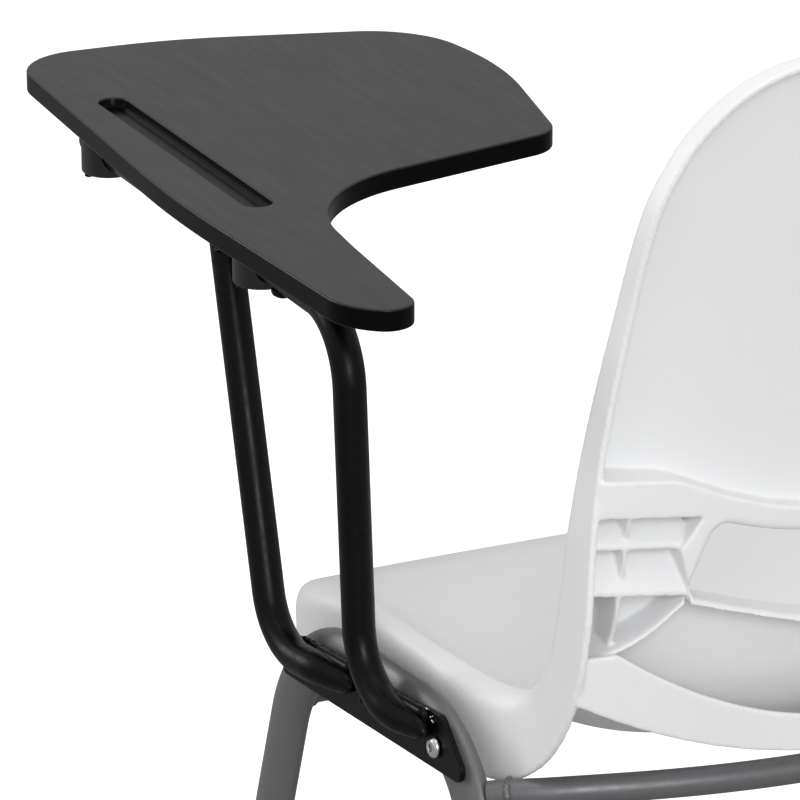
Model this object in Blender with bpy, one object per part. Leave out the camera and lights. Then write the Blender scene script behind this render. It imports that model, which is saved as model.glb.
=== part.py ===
"""Student desk chair: moulded seat shell on a tube frame with a flip-up writing tablet.

Units are metres, +Z is up, the sitter faces -Y and the tablet is on the sitter's left (+X).
The design frame has its zero in Y at the rear plate bolt; SHIFT moves the finished model so
that its bounding box stands centred on the origin.
"""

import math

import bmesh
import bpy
from mathutils import Matrix, Vector

# ---------------------------------------------------------------- driving dimensions
GAP = 0.0003                      # clearance left between touching solids
SHIFT = Vector((-0.0125, 0.2355, 0.0))

# side frames: oval tube
OVAL_A = 0.0190                   # half height of the oval in the plane of the frame
OVAL_B = 0.0100                   # half width of the oval across the frame
WALL = 0.0018
RAIL_Z = 0.395
RAIL_X = 0.241                    # rail centre at Y = 0
FLARE = 0.08                      # rails spread by this much per metre towards the front
FRAME_R = 0.085
FRONT_CORNER_Y = -0.207
REAR_CORNER_Y = 0.016
FRONT_RAKE = 0.082                # each foot stands this far beyond its corner along the rail
REAR_RAKE = 0.096
FRAME_LEAN = 0.066                # the frame's plane leans out by this much per metre down
TUBE_END_Z = 0.0063               # cut end of each leg, inside its glide

# glides
GLIDE_H = 0.034
GLIDE_WALL = 0.0026
GLIDE_SOLE = 0.0060

# cross tubes
CROSS_R = 0.0095
FRONT_CROSS_Y = -0.221
FRONT_CROSS_Z = 0.343
REAR_CROSS_Y = 0.100              # at the middle of the bow
REAR_CROSS_BOW = 0.9              # Y falls by this times X squared
REAR_CROSS_Z = 0.374
REAR_CROSS_END = (0.014, 0.010)   # the tube's ends turn forward and down by this much to the legs

# seat supports
SUPPORT_Y = (-0.185, -0.115)
SUPPORT_W = 0.030
SUPPORT_T = 0.004
SUPPORT_TOP_Z = 0.3590
BOSS_X = 0.110
BOSS_R = 0.012
SCREW_R = 0.0025
SCREW_HEAD_R = 0.0050

# tablet support
PLATE_T = 0.0040
PLATE_TILT = math.radians(3.6)
BOLT_Z = 0.390
BOLT_PLACES = ((-0.0055, -0.0030), (-0.0950, 0.0035))
BOLT_R = 0.0040
BOLT_HEAD_R = 0.0072
BOLT_HEAD_H = 0.0042
NUT_R = 0.0056
NUT_L = 0.0105
POST_R = 0.0111
POST_WALL = 0.0016
POST_BEND = 0.050
HINGE_X = 0.2745
HINGE_Z = 0.652
HINGE_END_Y = -0.532

# tablet
TABLET_TOP_Z = 0.695
TABLET_T = 0.015
BLOCK_R = 0.0195
BLOCK_BOTTOM_Z = 0.636
BLOCK_BORE_R = 0.0116
BLOCK_Y = (-0.505, -0.237)
BLOCK_SCREW_X = 0.0155
BLOCK_SCREW_R = 0.0017
REST_Y = -0.400
REST_X = 0.150

# seat shell
SHELL_T = 0.0045
SHELL_U = 12                      # cells across
SHELL_V = 30                      # cells from the front edge to the top of the back
BACK_Y = 0.112                    # rear face of the band round the back opening, at its middle
LIP_X = 0.142                     # outside of the band at the ends of the slot
RIB_STEP = 0.0003
SLOT_X = 0.1345
SLOT_CORNER = 0.012
SLOT_SLANT = 0.2                  # the slot's ends lean outward towards the seat
BELT_X = 0.188                    # how far each rib of the back reaches out to the flange
APRON_X = 0.208
APRON_T = 0.005
SHELVES = ((0.5302, 0.10, 0.1920), (0.4953, 0.12, 0.1960))   # height at X = 0, slope, reach
RIB_T = 0.0035
SHELF_INSET = 0.0040              # the shelves stand this far in front of the ribs' rear plane
FIN_X = (0.1683, 0.1718)          # sides of the upright fin that crosses the shelves
FIN_Z = (0.4700, 0.5720)
FIN_TAPER = 0.16
BRACE_X = (0.1350, 0.1820)        # reach of the slanting brace below the shelves
BRACE_Z = 0.5850                  # its height if it ran on to X = 0
BRACE_SLOPE = 0.600
BRACE_TAPER = 0.08


# ---------------------------------------------------------------- general helpers
def clear_scene():
    for old in list(bpy.data.objects):
        bpy.data.objects.remove(old, do_unlink=True)


def material(name, color, roughness, metallic=0.0):
    mat = bpy.data.materials.new(name)
    mat.use_nodes = True
    shader = mat.node_tree.nodes["Principled BSDF"]
    shader.inputs["Base Color"].default_value = (*color, 1.0)
    shader.inputs["Roughness"].default_value = roughness
    shader.inputs["Metallic"].default_value = metallic
    mat.diffuse_color = (*color, 1.0)
    return mat


WHITE_SHELL = ((0.80, 0.81, 0.82), 0.40, 0.0)
GREY_FRAME = ((0.20, 0.20, 0.21), 0.42, 0.6)
BLACK_STEEL = ((0.012, 0.012, 0.013), 0.32, 0.0)
BLACK_BOARD = ((0.045, 0.045, 0.047), 0.45, 0.0)
BLACK_PLASTIC = ((0.015, 0.015, 0.016), 0.50, 0.0)
ZINC = ((0.62, 0.62, 0.60), 0.28, 1.0)
GREY_PLASTIC = ((0.10, 0.10, 0.105), 0.55, 0.0)


def add_object(name, bm, finish, smooth=40.0, parent=None):
    bmesh.ops.recalc_face_normals(bm, faces=bm.faces[:])
    mesh = bpy.data.meshes.new(name)
    bm.to_mesh(mesh)
    bm.free()
    mesh.materials.append(material(name, *finish))
    mesh.shade_smooth()
    mesh.set_sharp_from_angle(angle=math.radians(smooth))
    obj = bpy.data.objects.new(name, mesh)
    bpy.context.scene.collection.objects.link(obj)
    if parent is not None:
        obj.parent = parent
        obj.location = -parent.location
    return obj


def add_axis(name, place):
    """An empty on a joint axis; the pieces that turn about it are its children."""
    axis = bpy.data.objects.new(name, None)
    axis.location = place
    bpy.context.scene.collection.objects.link(axis)
    return axis


def add_cutter(name, bm):
    bmesh.ops.recalc_face_normals(bm, faces=bm.faces[:])
    mesh = bpy.data.meshes.new(name)
    bm.to_mesh(mesh)
    bm.free()
    obj = bpy.data.objects.new(name, mesh)
    bpy.context.scene.collection.objects.link(obj)
    obj.hide_render = True
    obj.display_type = "WIRE"
    return obj


def boolean(target, other, operation="DIFFERENCE"):
    mod = target.modifiers.new(operation.lower(), "BOOLEAN")
    mod.operation = operation
    mod.solver = "EXACT"
    mod.object = other
    return mod


def round_corner(before, corner, after, radius, steps):
    """Points of a circular bend of the given radius that replaces a corner."""
    d1 = (before - corner).normalized()
    d2 = (after - corner).normalized()
    half = d1.angle(d2) / 2.0
    reach = radius / math.tan(half)
    start = corner + d1 * reach
    centre = corner + (d1 + d2).normalized() * (radius / math.sin(half))
    axis = (start - centre).cross(corner + d2 * reach - centre).normalized()
    sweep_angle = math.pi - 2.0 * half
    points = []
    for i in range(steps + 1):
        turn = Matrix.Rotation(sweep_angle * i / steps, 3, axis)
        points.append(centre + turn @ (start - centre))
    return points


def bent_path(corners, radius, steps=6):
    points = [corners[0]]
    for i in range(1, len(corners) - 1):
        points += round_corner(corners[i - 1], corners[i], corners[i + 1], radius, steps)
    points.append(corners[-1])
    return points


def ring_frames(points, side_hint):
    """A centre, a side direction, an in-plane direction and a tangent for each path point."""
    frames = []
    for i, point in enumerate(points):
        back = points[max(i - 1, 0)]
        ahead = points[min(i + 1, len(points) - 1)]
        tangent = (ahead - back).normalized()
        if 0 < i < len(points) - 1:
            tangent = ((ahead - point).normalized() + (point - back).normalized()).normalized()
        side = (side_hint - tangent * side_hint.dot(tangent)).normalized()
        frames.append((point, side, tangent.cross(side), tangent))
    return frames


def ring_vertices(bm, frame, half_side, half_plane, count, flat_z=None):
    centre, side, plane, tangent = frame
    ring = []
    for i in range(count):
        angle = 2.0 * math.pi * (i + 0.5) / count
        point = centre + side * (half_side * math.cos(angle)) + plane * (half_plane * math.sin(angle))
        if flat_z is not None:
            point = point + tangent * ((flat_z - point.z) / tangent.z)
        ring.append(bm.verts.new(point))
    return ring


def bridge_rings(bm, first, second):
    count = len(first)
    for i in range(count):
        j = (i + 1) % count
        bm.faces.new((first[i], first[j], second[j], second[i]))


def tube(points, half_side, half_plane, count, wall=None, side_hint=Vector((1, 0, 0)), flat_ends=False):
    """A swept oval tube: hollow with open ends when wall is given, otherwise a solid bar."""
    bm = bmesh.new()
    frames = ring_frames(points, side_hint)
    skins = [0.0] if wall is None else [0.0, wall]
    ends = []
    for inset in skins:
        rings = []
        for i, frame in enumerate(frames):
            at_end = i in (0, len(frames) - 1)
            flat_z = frame[0].z if flat_ends and at_end else None
            rings.append(ring_vertices(bm, frame, half_side - inset, half_plane - inset, count, flat_z))
        for a, b in zip(rings, rings[1:]):
            bridge_rings(bm, a, b)
        ends.append((rings[0], rings[-1]))
    if wall is None:
        bm.faces.new(ends[0][0])
        bm.faces.new(ends[0][1])
    else:
        bridge_rings(bm, ends[0][0], ends[1][0])
        bridge_rings(bm, ends[0][1], ends[1][1])
    return bm


def turned(profile, count, matrix):
    """A solid of revolution about local Z from (radius, height) points, closed on the axis."""
    bm = bmesh.new()
    rings = []
    for radius, height in profile:
        ring = []
        for i in range(count):
            angle = 2.0 * math.pi * (i + 0.5) / count
            point = Vector((radius * math.cos(angle), radius * math.sin(angle), height))
            ring.append(bm.verts.new(matrix @ point))
        rings.append(ring)
    for a, b in zip(rings, rings[1:]):
        bridge_rings(bm, a, b)
    bm.faces.new(rings[0])
    bm.faces.new(rings[-1])
    return bm


def bore_ring(profile, count, matrix):
    """A solid of revolution from a closed loop of (radius, height) points, with a hole in it."""
    bm = bmesh.new()
    rings = []
    for radius, height in profile:
        ring = []
        for i in range(count):
            angle = 2.0 * math.pi * (i + 0.5) / count
            point = Vector((radius * math.cos(angle), radius * math.sin(angle), height))
            ring.append(bm.verts.new(matrix @ point))
        rings.append(ring)
    for i, ring in enumerate(rings):
        bridge_rings(bm, ring, rings[(i + 1) % len(rings)])
    return bm


def axis_matrix(origin, direction):
    """Local Z runs along direction from origin."""
    rotation = Vector(direction).to_track_quat("Z", "Y").to_matrix().to_4x4()
    return Matrix.Translation(origin) @ rotation


def outline_points(corners, steps):
    """A flat outline from (x, y, radius) corners, each rounded by its radius."""
    points = []
    count = len(corners)
    for i, (x, y, radius) in enumerate(corners):
        before = Vector((*corners[i - 1][:2], 0.0))
        after = Vector((*corners[(i + 1) % count][:2], 0.0))
        points += [p.xy for p in round_corner(before, Vector((x, y, 0.0)), after, radius, steps)]
    return points


def extruded(outline, low, high, matrix=Matrix.Identity(4)):
    """A prism: a flat outline of (x, y) points between two local heights."""
    bm = bmesh.new()
    rings = []
    for height in (low, high):
        rings.append([bm.verts.new(matrix @ Vector((p[0], p[1], height))) for p in outline])
    bridge_rings(bm, rings[0], rings[1])
    bm.faces.new(rings[0])
    bm.faces.new(rings[1])
    return bm


def mirrored(vector):
    return Vector((-vector.x, vector.y, vector.z))


# ---------------------------------------------------------------- side frames
def rail_x(y):
    return RAIL_X - FLARE * y


def rail_forward():
    return Vector((FLARE, -1.0, 0.0)).normalized()


def rail_normal():
    """Unit outward direction of the left frame's flat side; the frame leans out to its feet."""
    level = Vector((1.0, FLARE, 0.0)).normalized()
    return (level + Vector((0.0, 0.0, FRAME_LEAN))).normalized()


def frame_corners():
    """Front foot, front corner, rear corner and rear foot of the left frame's centre line."""
    front = Vector((rail_x(FRONT_CORNER_Y), FRONT_CORNER_Y, RAIL_Z))
    rear = Vector((rail_x(REAR_CORNER_Y), REAR_CORNER_Y, RAIL_Z))
    down = rail_normal().cross(rail_forward())
    down = down * ((RAIL_Z - TUBE_END_Z) / -down.z)
    return [front + down + rail_forward() * FRONT_RAKE, front,
            rear, rear + down - rail_forward() * REAR_RAKE]


def frame_tube(flip, extra, wall=None):
    corners = frame_corners()
    side = rail_normal()
    if flip:
        corners = [mirrored(c) for c in corners]
        side = mirrored(side)
    path = bent_path(corners, FRAME_R, 7)
    return tube(path, OVAL_B + extra, OVAL_A + extra, 16, wall, side, wall is not None)


def plate_matrix():
    """Plate frame: local X runs rearward along the plate, Y up, Z outward; zero is the rear bolt."""
    normal = rail_normal()
    tilt = Matrix.Rotation(PLATE_TILT, 3, normal)
    rearward = tilt @ (-rail_forward())
    up = normal.cross(rearward)
    face = Vector((rail_x(0.0), 0.0, RAIL_Z)) + normal * (OVAL_B + GAP) + up * (BOLT_Z - RAIL_Z)
    rotation = Matrix((rearward, up, normal)).transposed().to_4x4()
    return Matrix.Translation(face) @ rotation


def build_side_frames():
    for side, flip in (("left", False), ("right", True)):
        frame = add_object("side_frame_" + side, frame_tube(flip, 0.0, WALL), GREY_FRAME)
        if not flip:
            for place in BOLT_PLACES:
                start = plate_matrix() @ Vector((*place, 0.004))
                hole = turned([(NUT_R + GAP, -OVAL_B), (NUT_R + GAP, 0.006)], 16,
                              axis_matrix(start, rail_normal()))
                boolean(frame, add_cutter("cut_nut", hole))


def build_glides():
    """A cap on each leg end: a sole under the tube and a sleeve round it."""
    levels = [(0.0, 0.0), (0.003, GLIDE_WALL), (GLIDE_H, GLIDE_WALL),
              (GLIDE_H, 2 * GAP), (GLIDE_SOLE, 2 * GAP)]
    for side, flip in (("left", False), ("right", True)):
        corners = frame_corners()
        hint = rail_normal()
        if flip:
            corners = [mirrored(c) for c in corners]
            hint = mirrored(hint)
        for name, foot, corner in (("front", corners[0], corners[1]), ("rear", corners[3], corners[2])):
            axis = (corner - foot).normalized()
            base = foot - axis * (foot.z / axis.z)
            across = (hint - axis * hint.dot(axis)).normalized()
            bm = bmesh.new()
            rings = []
            for height, extra in levels:
                frame = (base + axis * (height / axis.z), across, axis.cross(across), axis)
                rings.append(ring_vertices(bm, frame, OVAL_B + extra, OVAL_A + extra, 16, height))
            for a, b in zip(rings, rings[1:]):
                bridge_rings(bm, a, b)
            bm.faces.new(rings[0])
            bm.faces.new(rings[-1])
            add_object("glide_%s_%s" % (name, side), bm, GREY_PLASTIC)


# ---------------------------------------------------------------- cross tubes and supports
def frame_cutters():
    """Solid stand-ins for both side frames, fatter by the gap, that cope the cross tube ends."""
    return [add_cutter("cut_frame", frame_tube(flip, GAP)) for flip in (False, True)]


def rear_cross_point(x):
    """Centre line of the rear cross tube, bowed rearward behind the seat."""
    share = (x / rail_x(0.0)) ** 8
    forward, down = REAR_CROSS_END
    y = REAR_CROSS_Y - REAR_CROSS_BOW * x * x - forward * share
    return Vector((x, y, REAR_CROSS_Z - down * share))


def build_cross_tubes():
    cutters = frame_cutters()
    reach = rail_x(FRONT_CROSS_Y) + 0.004
    front = [Vector((-reach, FRONT_CROSS_Y, FRONT_CROSS_Z)), Vector((reach, FRONT_CROSS_Y, FRONT_CROSS_Z))]
    reach = rail_x(0.0)
    rear = [rear_cross_point(reach * (i / 8.0 - 1.0)) for i in range(17)]
    for name, points in (("front_cross_tube", front), ("rear_cross_tube", rear)):
        bm = tube(points, CROSS_R, CROSS_R, 14, side_hint=Vector((0, 0, 1)))
        bar = add_object(name, bm, GREY_FRAME)
        for cutter in cutters:
            boolean(bar, cutter)


def support_line(y):
    """Upper line of a seat support in (x, z): under the shell, then up to meet both rails."""
    reach = rail_x(y)
    side = [(reach - 0.0180, SUPPORT_TOP_Z), (reach - 0.0090, RAIL_Z - OVAL_A - GAP),
            (reach + 0.0060, RAIL_Z - OVAL_A - GAP)]
    return [(-x, z) for x, z in reversed(side)] + side


def build_supports():
    for name, y in zip(("front", "rear"), SUPPORT_Y):
        line = support_line(y)
        bm = bmesh.new()
        rings = []
        for place in (y - SUPPORT_W / 2.0, y + SUPPORT_W / 2.0):
            upper = [bm.verts.new((x, place, z)) for x, z in line]
            lower = [bm.verts.new((x, place, z - SUPPORT_T)) for x, z in reversed(line)]
            rings.append(upper + lower)
        bridge_rings(bm, rings[0], rings[1])
        bm.faces.new(rings[0])
        bm.faces.new(rings[1])
        support = add_object("seat_support_" + name, bm, GREY_FRAME)
        for cutter in frame_cutters():
            boolean(support, cutter)
        for sign in (-1.0, 1.0):
            hole = turned([(SCREW_R + 2 * GAP, -0.02), (SCREW_R + 2 * GAP, 0.02)], 12,
                          Matrix.Translation((sign * BOSS_X, y, SUPPORT_TOP_Z)))
            boolean(support, add_cutter("cut_support", hole))


def build_seat_screws():
    head_top = SUPPORT_TOP_Z - SUPPORT_T - GAP
    profile = [(SCREW_HEAD_R * 0.55, -0.0034), (SCREW_HEAD_R, -0.0016), (SCREW_HEAD_R, 0.0),
               (SCREW_R, 0.0), (SCREW_R, 0.0175)]
    for side, sign in (("left", 1.0), ("right", -1.0)):
        for name, y in zip(("front", "rear"), SUPPORT_Y):
            bm = turned(profile, 12, Matrix.Translation((sign * BOSS_X, y, head_top)))
            add_object("seat_screw_%s_%s" % (name, side), bm, ZINC)


# ---------------------------------------------------------------- tablet support
PLATE_CORNERS = [(-0.2145, -0.0125, 0.006), (0.0385, -0.0200, 0.008),
                 (0.0005, 0.0200, 0.008), (-0.2070, 0.0150, 0.007)]


def build_plate():
    bm = extruded(outline_points(PLATE_CORNERS, 4), 0.0, PLATE_T, plate_matrix())
    plate = add_object("mount_plate", bm, BLACK_STEEL)
    for place in BOLT_PLACES:
        hole = turned([(BOLT_R + 2 * GAP, -0.01), (BOLT_R + 2 * GAP, 0.02)], 16,
                      plate_matrix() @ Matrix.Translation((*place, 0.0)))
        boolean(plate, add_cutter("cut_plate", hole))


def build_bolts():
    head = PLATE_T + GAP
    profile = [(BOLT_R, -0.0118), (BOLT_R, head), (BOLT_HEAD_R, head), (BOLT_HEAD_R, head + 0.0010),
               (BOLT_HEAD_R * 0.82, head + 0.0030), (BOLT_HEAD_R * 0.52, head + BOLT_HEAD_H),
               (0.0024, head + BOLT_HEAD_H), (0.0024, head + BOLT_HEAD_H - 0.0022)]
    nut = [(BOLT_R + GAP, -GAP), (NUT_R, -GAP), (NUT_R, -GAP - NUT_L), (BOLT_R + GAP, -GAP - NUT_L)]
    for name, place in zip(("rear", "front"), BOLT_PLACES):
        matrix = plate_matrix() @ Matrix.Translation((*place, 0.0))
        add_object("plate_bolt_" + name, turned(profile, 16, matrix), ZINC if name == "rear" else BLACK_STEEL)
        add_object("rivet_nut_" + name, bore_ring(nut, 16, matrix), ZINC)


def post_corners():
    """Centre lines of the two posts; both start on the plate."""
    matrix = plate_matrix()
    lift = PLATE_T + GAP + POST_R
    rear = [matrix @ Vector((-0.0150, 0.0100, lift)), matrix @ Vector((-0.0840, 0.0100, lift)),
            Vector((HINGE_X, -0.100, HINGE_Z)), Vector((HINGE_X, HINGE_END_Y, HINGE_Z))]
    front = [matrix @ Vector((-0.1120, 0.0120, lift)), matrix @ Vector((-0.2000, 0.0120, lift + 0.0015)),
             Vector((HINGE_X, -0.299, HINGE_Z))]
    return rear, front


def hinge_cutter(radius):
    matrix = axis_matrix((HINGE_X, -0.10, HINGE_Z), (0, -1, 0))
    return add_cutter("cut_hinge", turned([(radius, 0.0), (radius, 0.60)], 24, matrix))


def build_posts():
    rear, front = post_corners()
    path = bent_path(rear, POST_BEND, 7)
    add_object("hinge_tube", tube(path, POST_R, POST_R, 18, POST_WALL), BLACK_STEEL)
    path = bent_path(front, POST_BEND, 7)
    post = add_object("front_post", tube(path, POST_R, POST_R, 18, POST_WALL), BLACK_STEEL)
    boolean(post, hinge_cutter(POST_R + GAP))
    plug_r = POST_R - POST_WALL - 2 * GAP
    profile = [(plug_r, -0.010), (plug_r, GAP), (POST_R, GAP), (POST_R, 0.0018), (POST_R - 0.0012, 0.0030)]
    matrix = axis_matrix((HINGE_X, HINGE_END_Y, HINGE_Z), (0, -1, 0))
    add_object("hinge_tube_cap", turned(profile, 18, matrix), BLACK_PLASTIC)


def build_rest():
    low = HINGE_Z + 0.0020
    high = low + 0.0040
    corners = [(REST_X, REST_Y - 0.014, 0.010), (HINGE_X, REST_Y - 0.014, 0.002),
               (HINGE_X, REST_Y + 0.014, 0.002), (REST_X, REST_Y + 0.014, 0.010)]
    arm = add_object("rest_arm", extruded(outline_points(corners, 3), low, high), BLACK_STEEL)
    boolean(arm, hinge_cutter(POST_R + GAP))
    base = high + GAP
    top = TABLET_TOP_Z - TABLET_T - GAP - base
    profile = [(0.0090, 0.0), (0.0095, 0.002), (0.0080, top - 0.002), (0.0065, top)]
    matrix = Matrix.Translation((REST_X + 0.016, REST_Y, base))
    add_object("rest_bumper", turned(profile, 16, matrix), BLACK_PLASTIC)


def build_stop_screw():
    base = POST_R + GAP
    profile = [(0.0066, base), (0.0062, base + 0.0016), (0.0040, base + 0.0034), (0.0015, base + 0.0040)]
    matrix = axis_matrix((HINGE_X, -0.199, HINGE_Z), (0.25, 0, -1))
    add_object("stop_screw", turned(profile, 16, matrix), BLACK_STEEL)


# ---------------------------------------------------------------- tablet
TABLET_CORNERS = [(0.2725, 0.0230, 0.0185), (0.3180, -0.0110, 0.048), (0.3293, -0.2600, 1.20),
                  (0.3080, -0.6100, 0.050), (0.1850, -0.6065, 0.35), (0.0090, -0.5550, 0.075),
                  (-0.0060, -0.4460, 0.30), (0.0295, -0.2875, 0.031), (0.2480, -0.2370, 0.120),
                  (0.2610, -0.1180, 0.60)]
GROOVE_X = 0.281
GROOVE_Y = (-0.4885, -0.2185)
GROOVE_HALF = 0.0105
GROOVE_DEPTH = 0.0065


def groove_outline():
    corner = GROOVE_HALF * 0.98
    x0 = GROOVE_X - GROOVE_HALF
    x1 = GROOVE_X + GROOVE_HALF
    return outline_points([(x0, GROOVE_Y[0], corner), (x1, GROOVE_Y[0], corner),
                           (x1, GROOVE_Y[1], corner), (x0, GROOVE_Y[1], corner)], 4)


def build_tablet():
    axis = add_axis("tablet_axis", (HINGE_X, 0.0, HINGE_Z))
    under = TABLET_TOP_Z - TABLET_T
    bm = extruded(outline_points(TABLET_CORNERS, 5), under, TABLET_TOP_Z)
    tablet = add_object("tablet_top", bm, BLACK_BOARD, 30.0, axis)
    bevel = tablet.modifiers.new("edge", "BEVEL")
    bevel.width = 0.0018
    bevel.segments = 2
    bevel.limit_method = "ANGLE"
    bevel.angle_limit = math.radians(60.0)
    groove = extruded(groove_outline(), TABLET_TOP_Z - GROOVE_DEPTH, TABLET_TOP_Z + 0.01)
    boolean(tablet, add_cutter("cut_groove", groove))
    for name, y in zip(("front", "rear"), BLOCK_Y):
        build_block(name, y, under, tablet, axis)


def build_block(name, y, under, tablet, axis):
    height = under - GAP - BLOCK_BOTTOM_Z
    profile = [(BLOCK_R - 0.0025, 0.0), (BLOCK_R - 0.0007, 0.0009), (BLOCK_R, 0.0028), (BLOCK_R, height)]
    bm = turned(profile, 28, Matrix.Translation((HINGE_X, y, BLOCK_BOTTOM_Z)))
    block = add_object("pivot_block_" + name, bm, BLACK_PLASTIC, 40.0, axis)
    boolean(block, hinge_cutter(BLOCK_BORE_R))
    head = BLOCK_BOTTOM_Z - GAP
    for side, sign in (("inner", -1.0), ("outer", 1.0)):
        place = (HINGE_X + sign * BLOCK_SCREW_X, y, head)
        matrix = Matrix.Translation(place)
        screw = [(0.0018, -0.0020), (0.0030, -0.0012), (0.0030, 0.0),
                 (BLOCK_SCREW_R, 0.0), (BLOCK_SCREW_R, under - head + 0.009)]
        add_object("block_screw_%s_%s" % (name, side), turned(screw, 10, matrix), BLACK_STEEL, 40.0, axis)
        wide = BLOCK_SCREW_R + 1.5 * GAP
        for target, low, high in ((block, -0.01, 0.06), (tablet, under - head - 0.01, under - head + 0.0096)):
            hole = turned([(wide, low), (wide, high)], 10, matrix)
            boolean(target, add_cutter("cut_screw", hole))


# ---------------------------------------------------------------- seat shell
# The sitter's surface: a centre line in (y, z), and how its edges stand towards the sitter.
CENTRE_LINE = [(-0.282, 0.398), (-0.246, 0.405), (-0.190, 0.402), (-0.120, 0.392), (-0.060, 0.382),
               (-0.010, 0.3775), (0.029, 0.3835), (0.058, 0.404), (0.076, 0.434), (0.0845, 0.469),
               (0.0885, 0.510), (0.092, 0.555), (0.095, 0.615), (0.101, 0.690), (0.110, 0.770),
               (0.119, 0.860)]
# Tables against length along the centre line, from the front edge.
HALF_WIDTH = [(0.014, 0.2235), (0.040, 0.2255), (0.100, 0.2235), (0.230, 0.2200), (0.285, 0.2150),
              (0.350, 0.2070), (0.405, 0.2020), (0.505, 0.1930), (0.567, 0.1850), (0.642, 0.1730),
              (0.722, 0.1600), (0.762, 0.1420), (0.813, 0.1100)]
EDGE_RISE = [(0.000, 0.0000), (0.050, 0.0060), (0.090, 0.0150), (0.160, 0.0300), (0.230, 0.0470),
             (0.274, 0.0540), (0.314, 0.0540), (0.350, 0.0470), (0.384, 0.0390), (0.420, 0.0320),
             (0.461, 0.0290), (0.506, 0.0290), (0.567, 0.0255), (0.642, 0.0200), (0.722, 0.0125),
             (0.813, 0.0030)]
FLANGE_DEPTH = [(0.000, 0.0330), (0.090, 0.0430), (0.160, 0.0480), (0.230, 0.0540), (0.280, 0.0540),
                (0.350, 0.0470), (0.455, 0.0430), (0.505, 0.0350), (0.567, 0.0250), (0.642, 0.0190),
                (0.722, 0.0150), (0.813, 0.0120)]
ROLL_RADIUS = [(0.000, 0.0160), (0.050, 0.0120), (0.110, 0.0070), (0.813, 0.0060)]
FRONT_SWEEP = 0.014               # the front corners stand back by this length
TOP_SWEEP = 0.050                 # the top corners stand down by this length


def table_value(table, at):
    """A smooth value between the (position, value) rows of a table."""
    last = len(table) - 1
    if at <= table[0][0]:
        return table[0][1]
    if at >= table[last][0]:
        return table[last][1]
    k = 0
    while table[k + 1][0] < at:
        k += 1

    def slope(i):
        low = max(i - 1, 0)
        high = min(i + 1, last)
        return (table[high][1] - table[low][1]) / (table[high][0] - table[low][0])

    span = table[k + 1][0] - table[k][0]
    t = (at - table[k][0]) / span
    value = (2 * t ** 3 - 3 * t ** 2 + 1) * table[k][1] + (t ** 3 - 2 * t ** 2 + t) * span * slope(k)
    return value + (3 * t ** 2 - 2 * t ** 3) * table[k + 1][1] + (t ** 3 - t ** 2) * span * slope(k + 1)


def centre_tables():
    length = 0.0
    rows_y = [(0.0, CENTRE_LINE[0][0])]
    rows_z = [(0.0, CENTRE_LINE[0][1])]
    for (y0, z0), (y1, z1) in zip(CENTRE_LINE, CENTRE_LINE[1:]):
        length += math.hypot(y1 - y0, z1 - z0)
        rows_y.append((length, y1))
        rows_z.append((length, z1))
    return rows_y, rows_z, length


CENTRE_Y, CENTRE_Z, CENTRE_LENGTH = centre_tables()


def centre_point(s):
    return Vector((0.0, table_value(CENTRE_Y, s), table_value(CENTRE_Z, s)))


def centre_normal(s):
    """Unit normal of the centre line, towards the sitter."""
    step = 0.012
    tangent = centre_point(min(s + step, CENTRE_LENGTH)) - centre_point(max(s - step, 0.0))
    tangent.normalize()
    return Vector((0.0, -tangent.z, tangent.y))


def surface_point(x, s):
    share = min(abs(x) / table_value(HALF_WIDTH, s), 1.0)
    power = 4.0 - 1.5 * min(max((s - 0.28) / 0.15, 0.0), 1.0)
    point = centre_point(s) + centre_normal(s) * (table_value(EDGE_RISE, s) * share ** power)
    point.x = x
    return point


def grid_place(u, v):
    """Where grid place (u, v) lies: x, and length along the centre line."""
    front = FRONT_SWEEP * abs(u) ** 5
    top = CENTRE_LENGTH - TOP_SWEEP * abs(u) ** 4
    edge = FRONT_SWEEP + (CENTRE_LENGTH - TOP_SWEEP - FRONT_SWEEP) * v
    return u * table_value(HALF_WIDTH, edge), front + (top - front) * v


def edge_flange(point, outward, s, steps):
    """Points that roll over the rim and run down the flange, away from the sitter."""
    away = -centre_normal(s)
    away = (away + outward * 0.05).normalized()
    radius = table_value(ROLL_RADIUS, s)
    corner = point + outward * radius
    end = corner + away * radius
    points = []
    for i in range(1, steps + 1):
        t = i / steps
        points.append(point * (1 - t) ** 2 + corner * (2 * t * (1 - t)) + end * t ** 2)
    depth = table_value(FLANGE_DEPTH, s)
    points.append(end + away * (depth * 0.5))
    points.append(end + away * depth)
    return points


def shell_sheet(count_u, count_v, roll_steps):
    """Rows of sheet points: the grid, and the rim loop with the flange columns hanging from it."""
    grid = []
    for j in range(count_v + 1):
        row = []
        for i in range(count_u + 1):
            x, s = grid_place(2.0 * i / count_u - 1.0, j / count_v)
            row.append((surface_point(x, s), s))
        grid.append(row)
    loop = [(i, 0) for i in range(count_u)]
    loop += [(count_u, j) for j in range(count_v)]
    loop += [(i, count_v) for i in range(count_u, 0, -1)]
    loop += [(0, j) for j in range(count_v, 0, -1)]
    columns = []
    for k, (i, j) in enumerate(loop):
        point, s = grid[j][i]
        before = loop[k - 1]
        after = loop[(k + 1) % len(loop)]
        along = (grid[after[1]][after[0]][0] - grid[before[1]][before[0]][0]).normalized()
        outward = along.cross(centre_normal(s)).normalized()
        columns.append(edge_flange(point, outward, s, roll_steps))
    return grid, loop, columns


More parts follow.
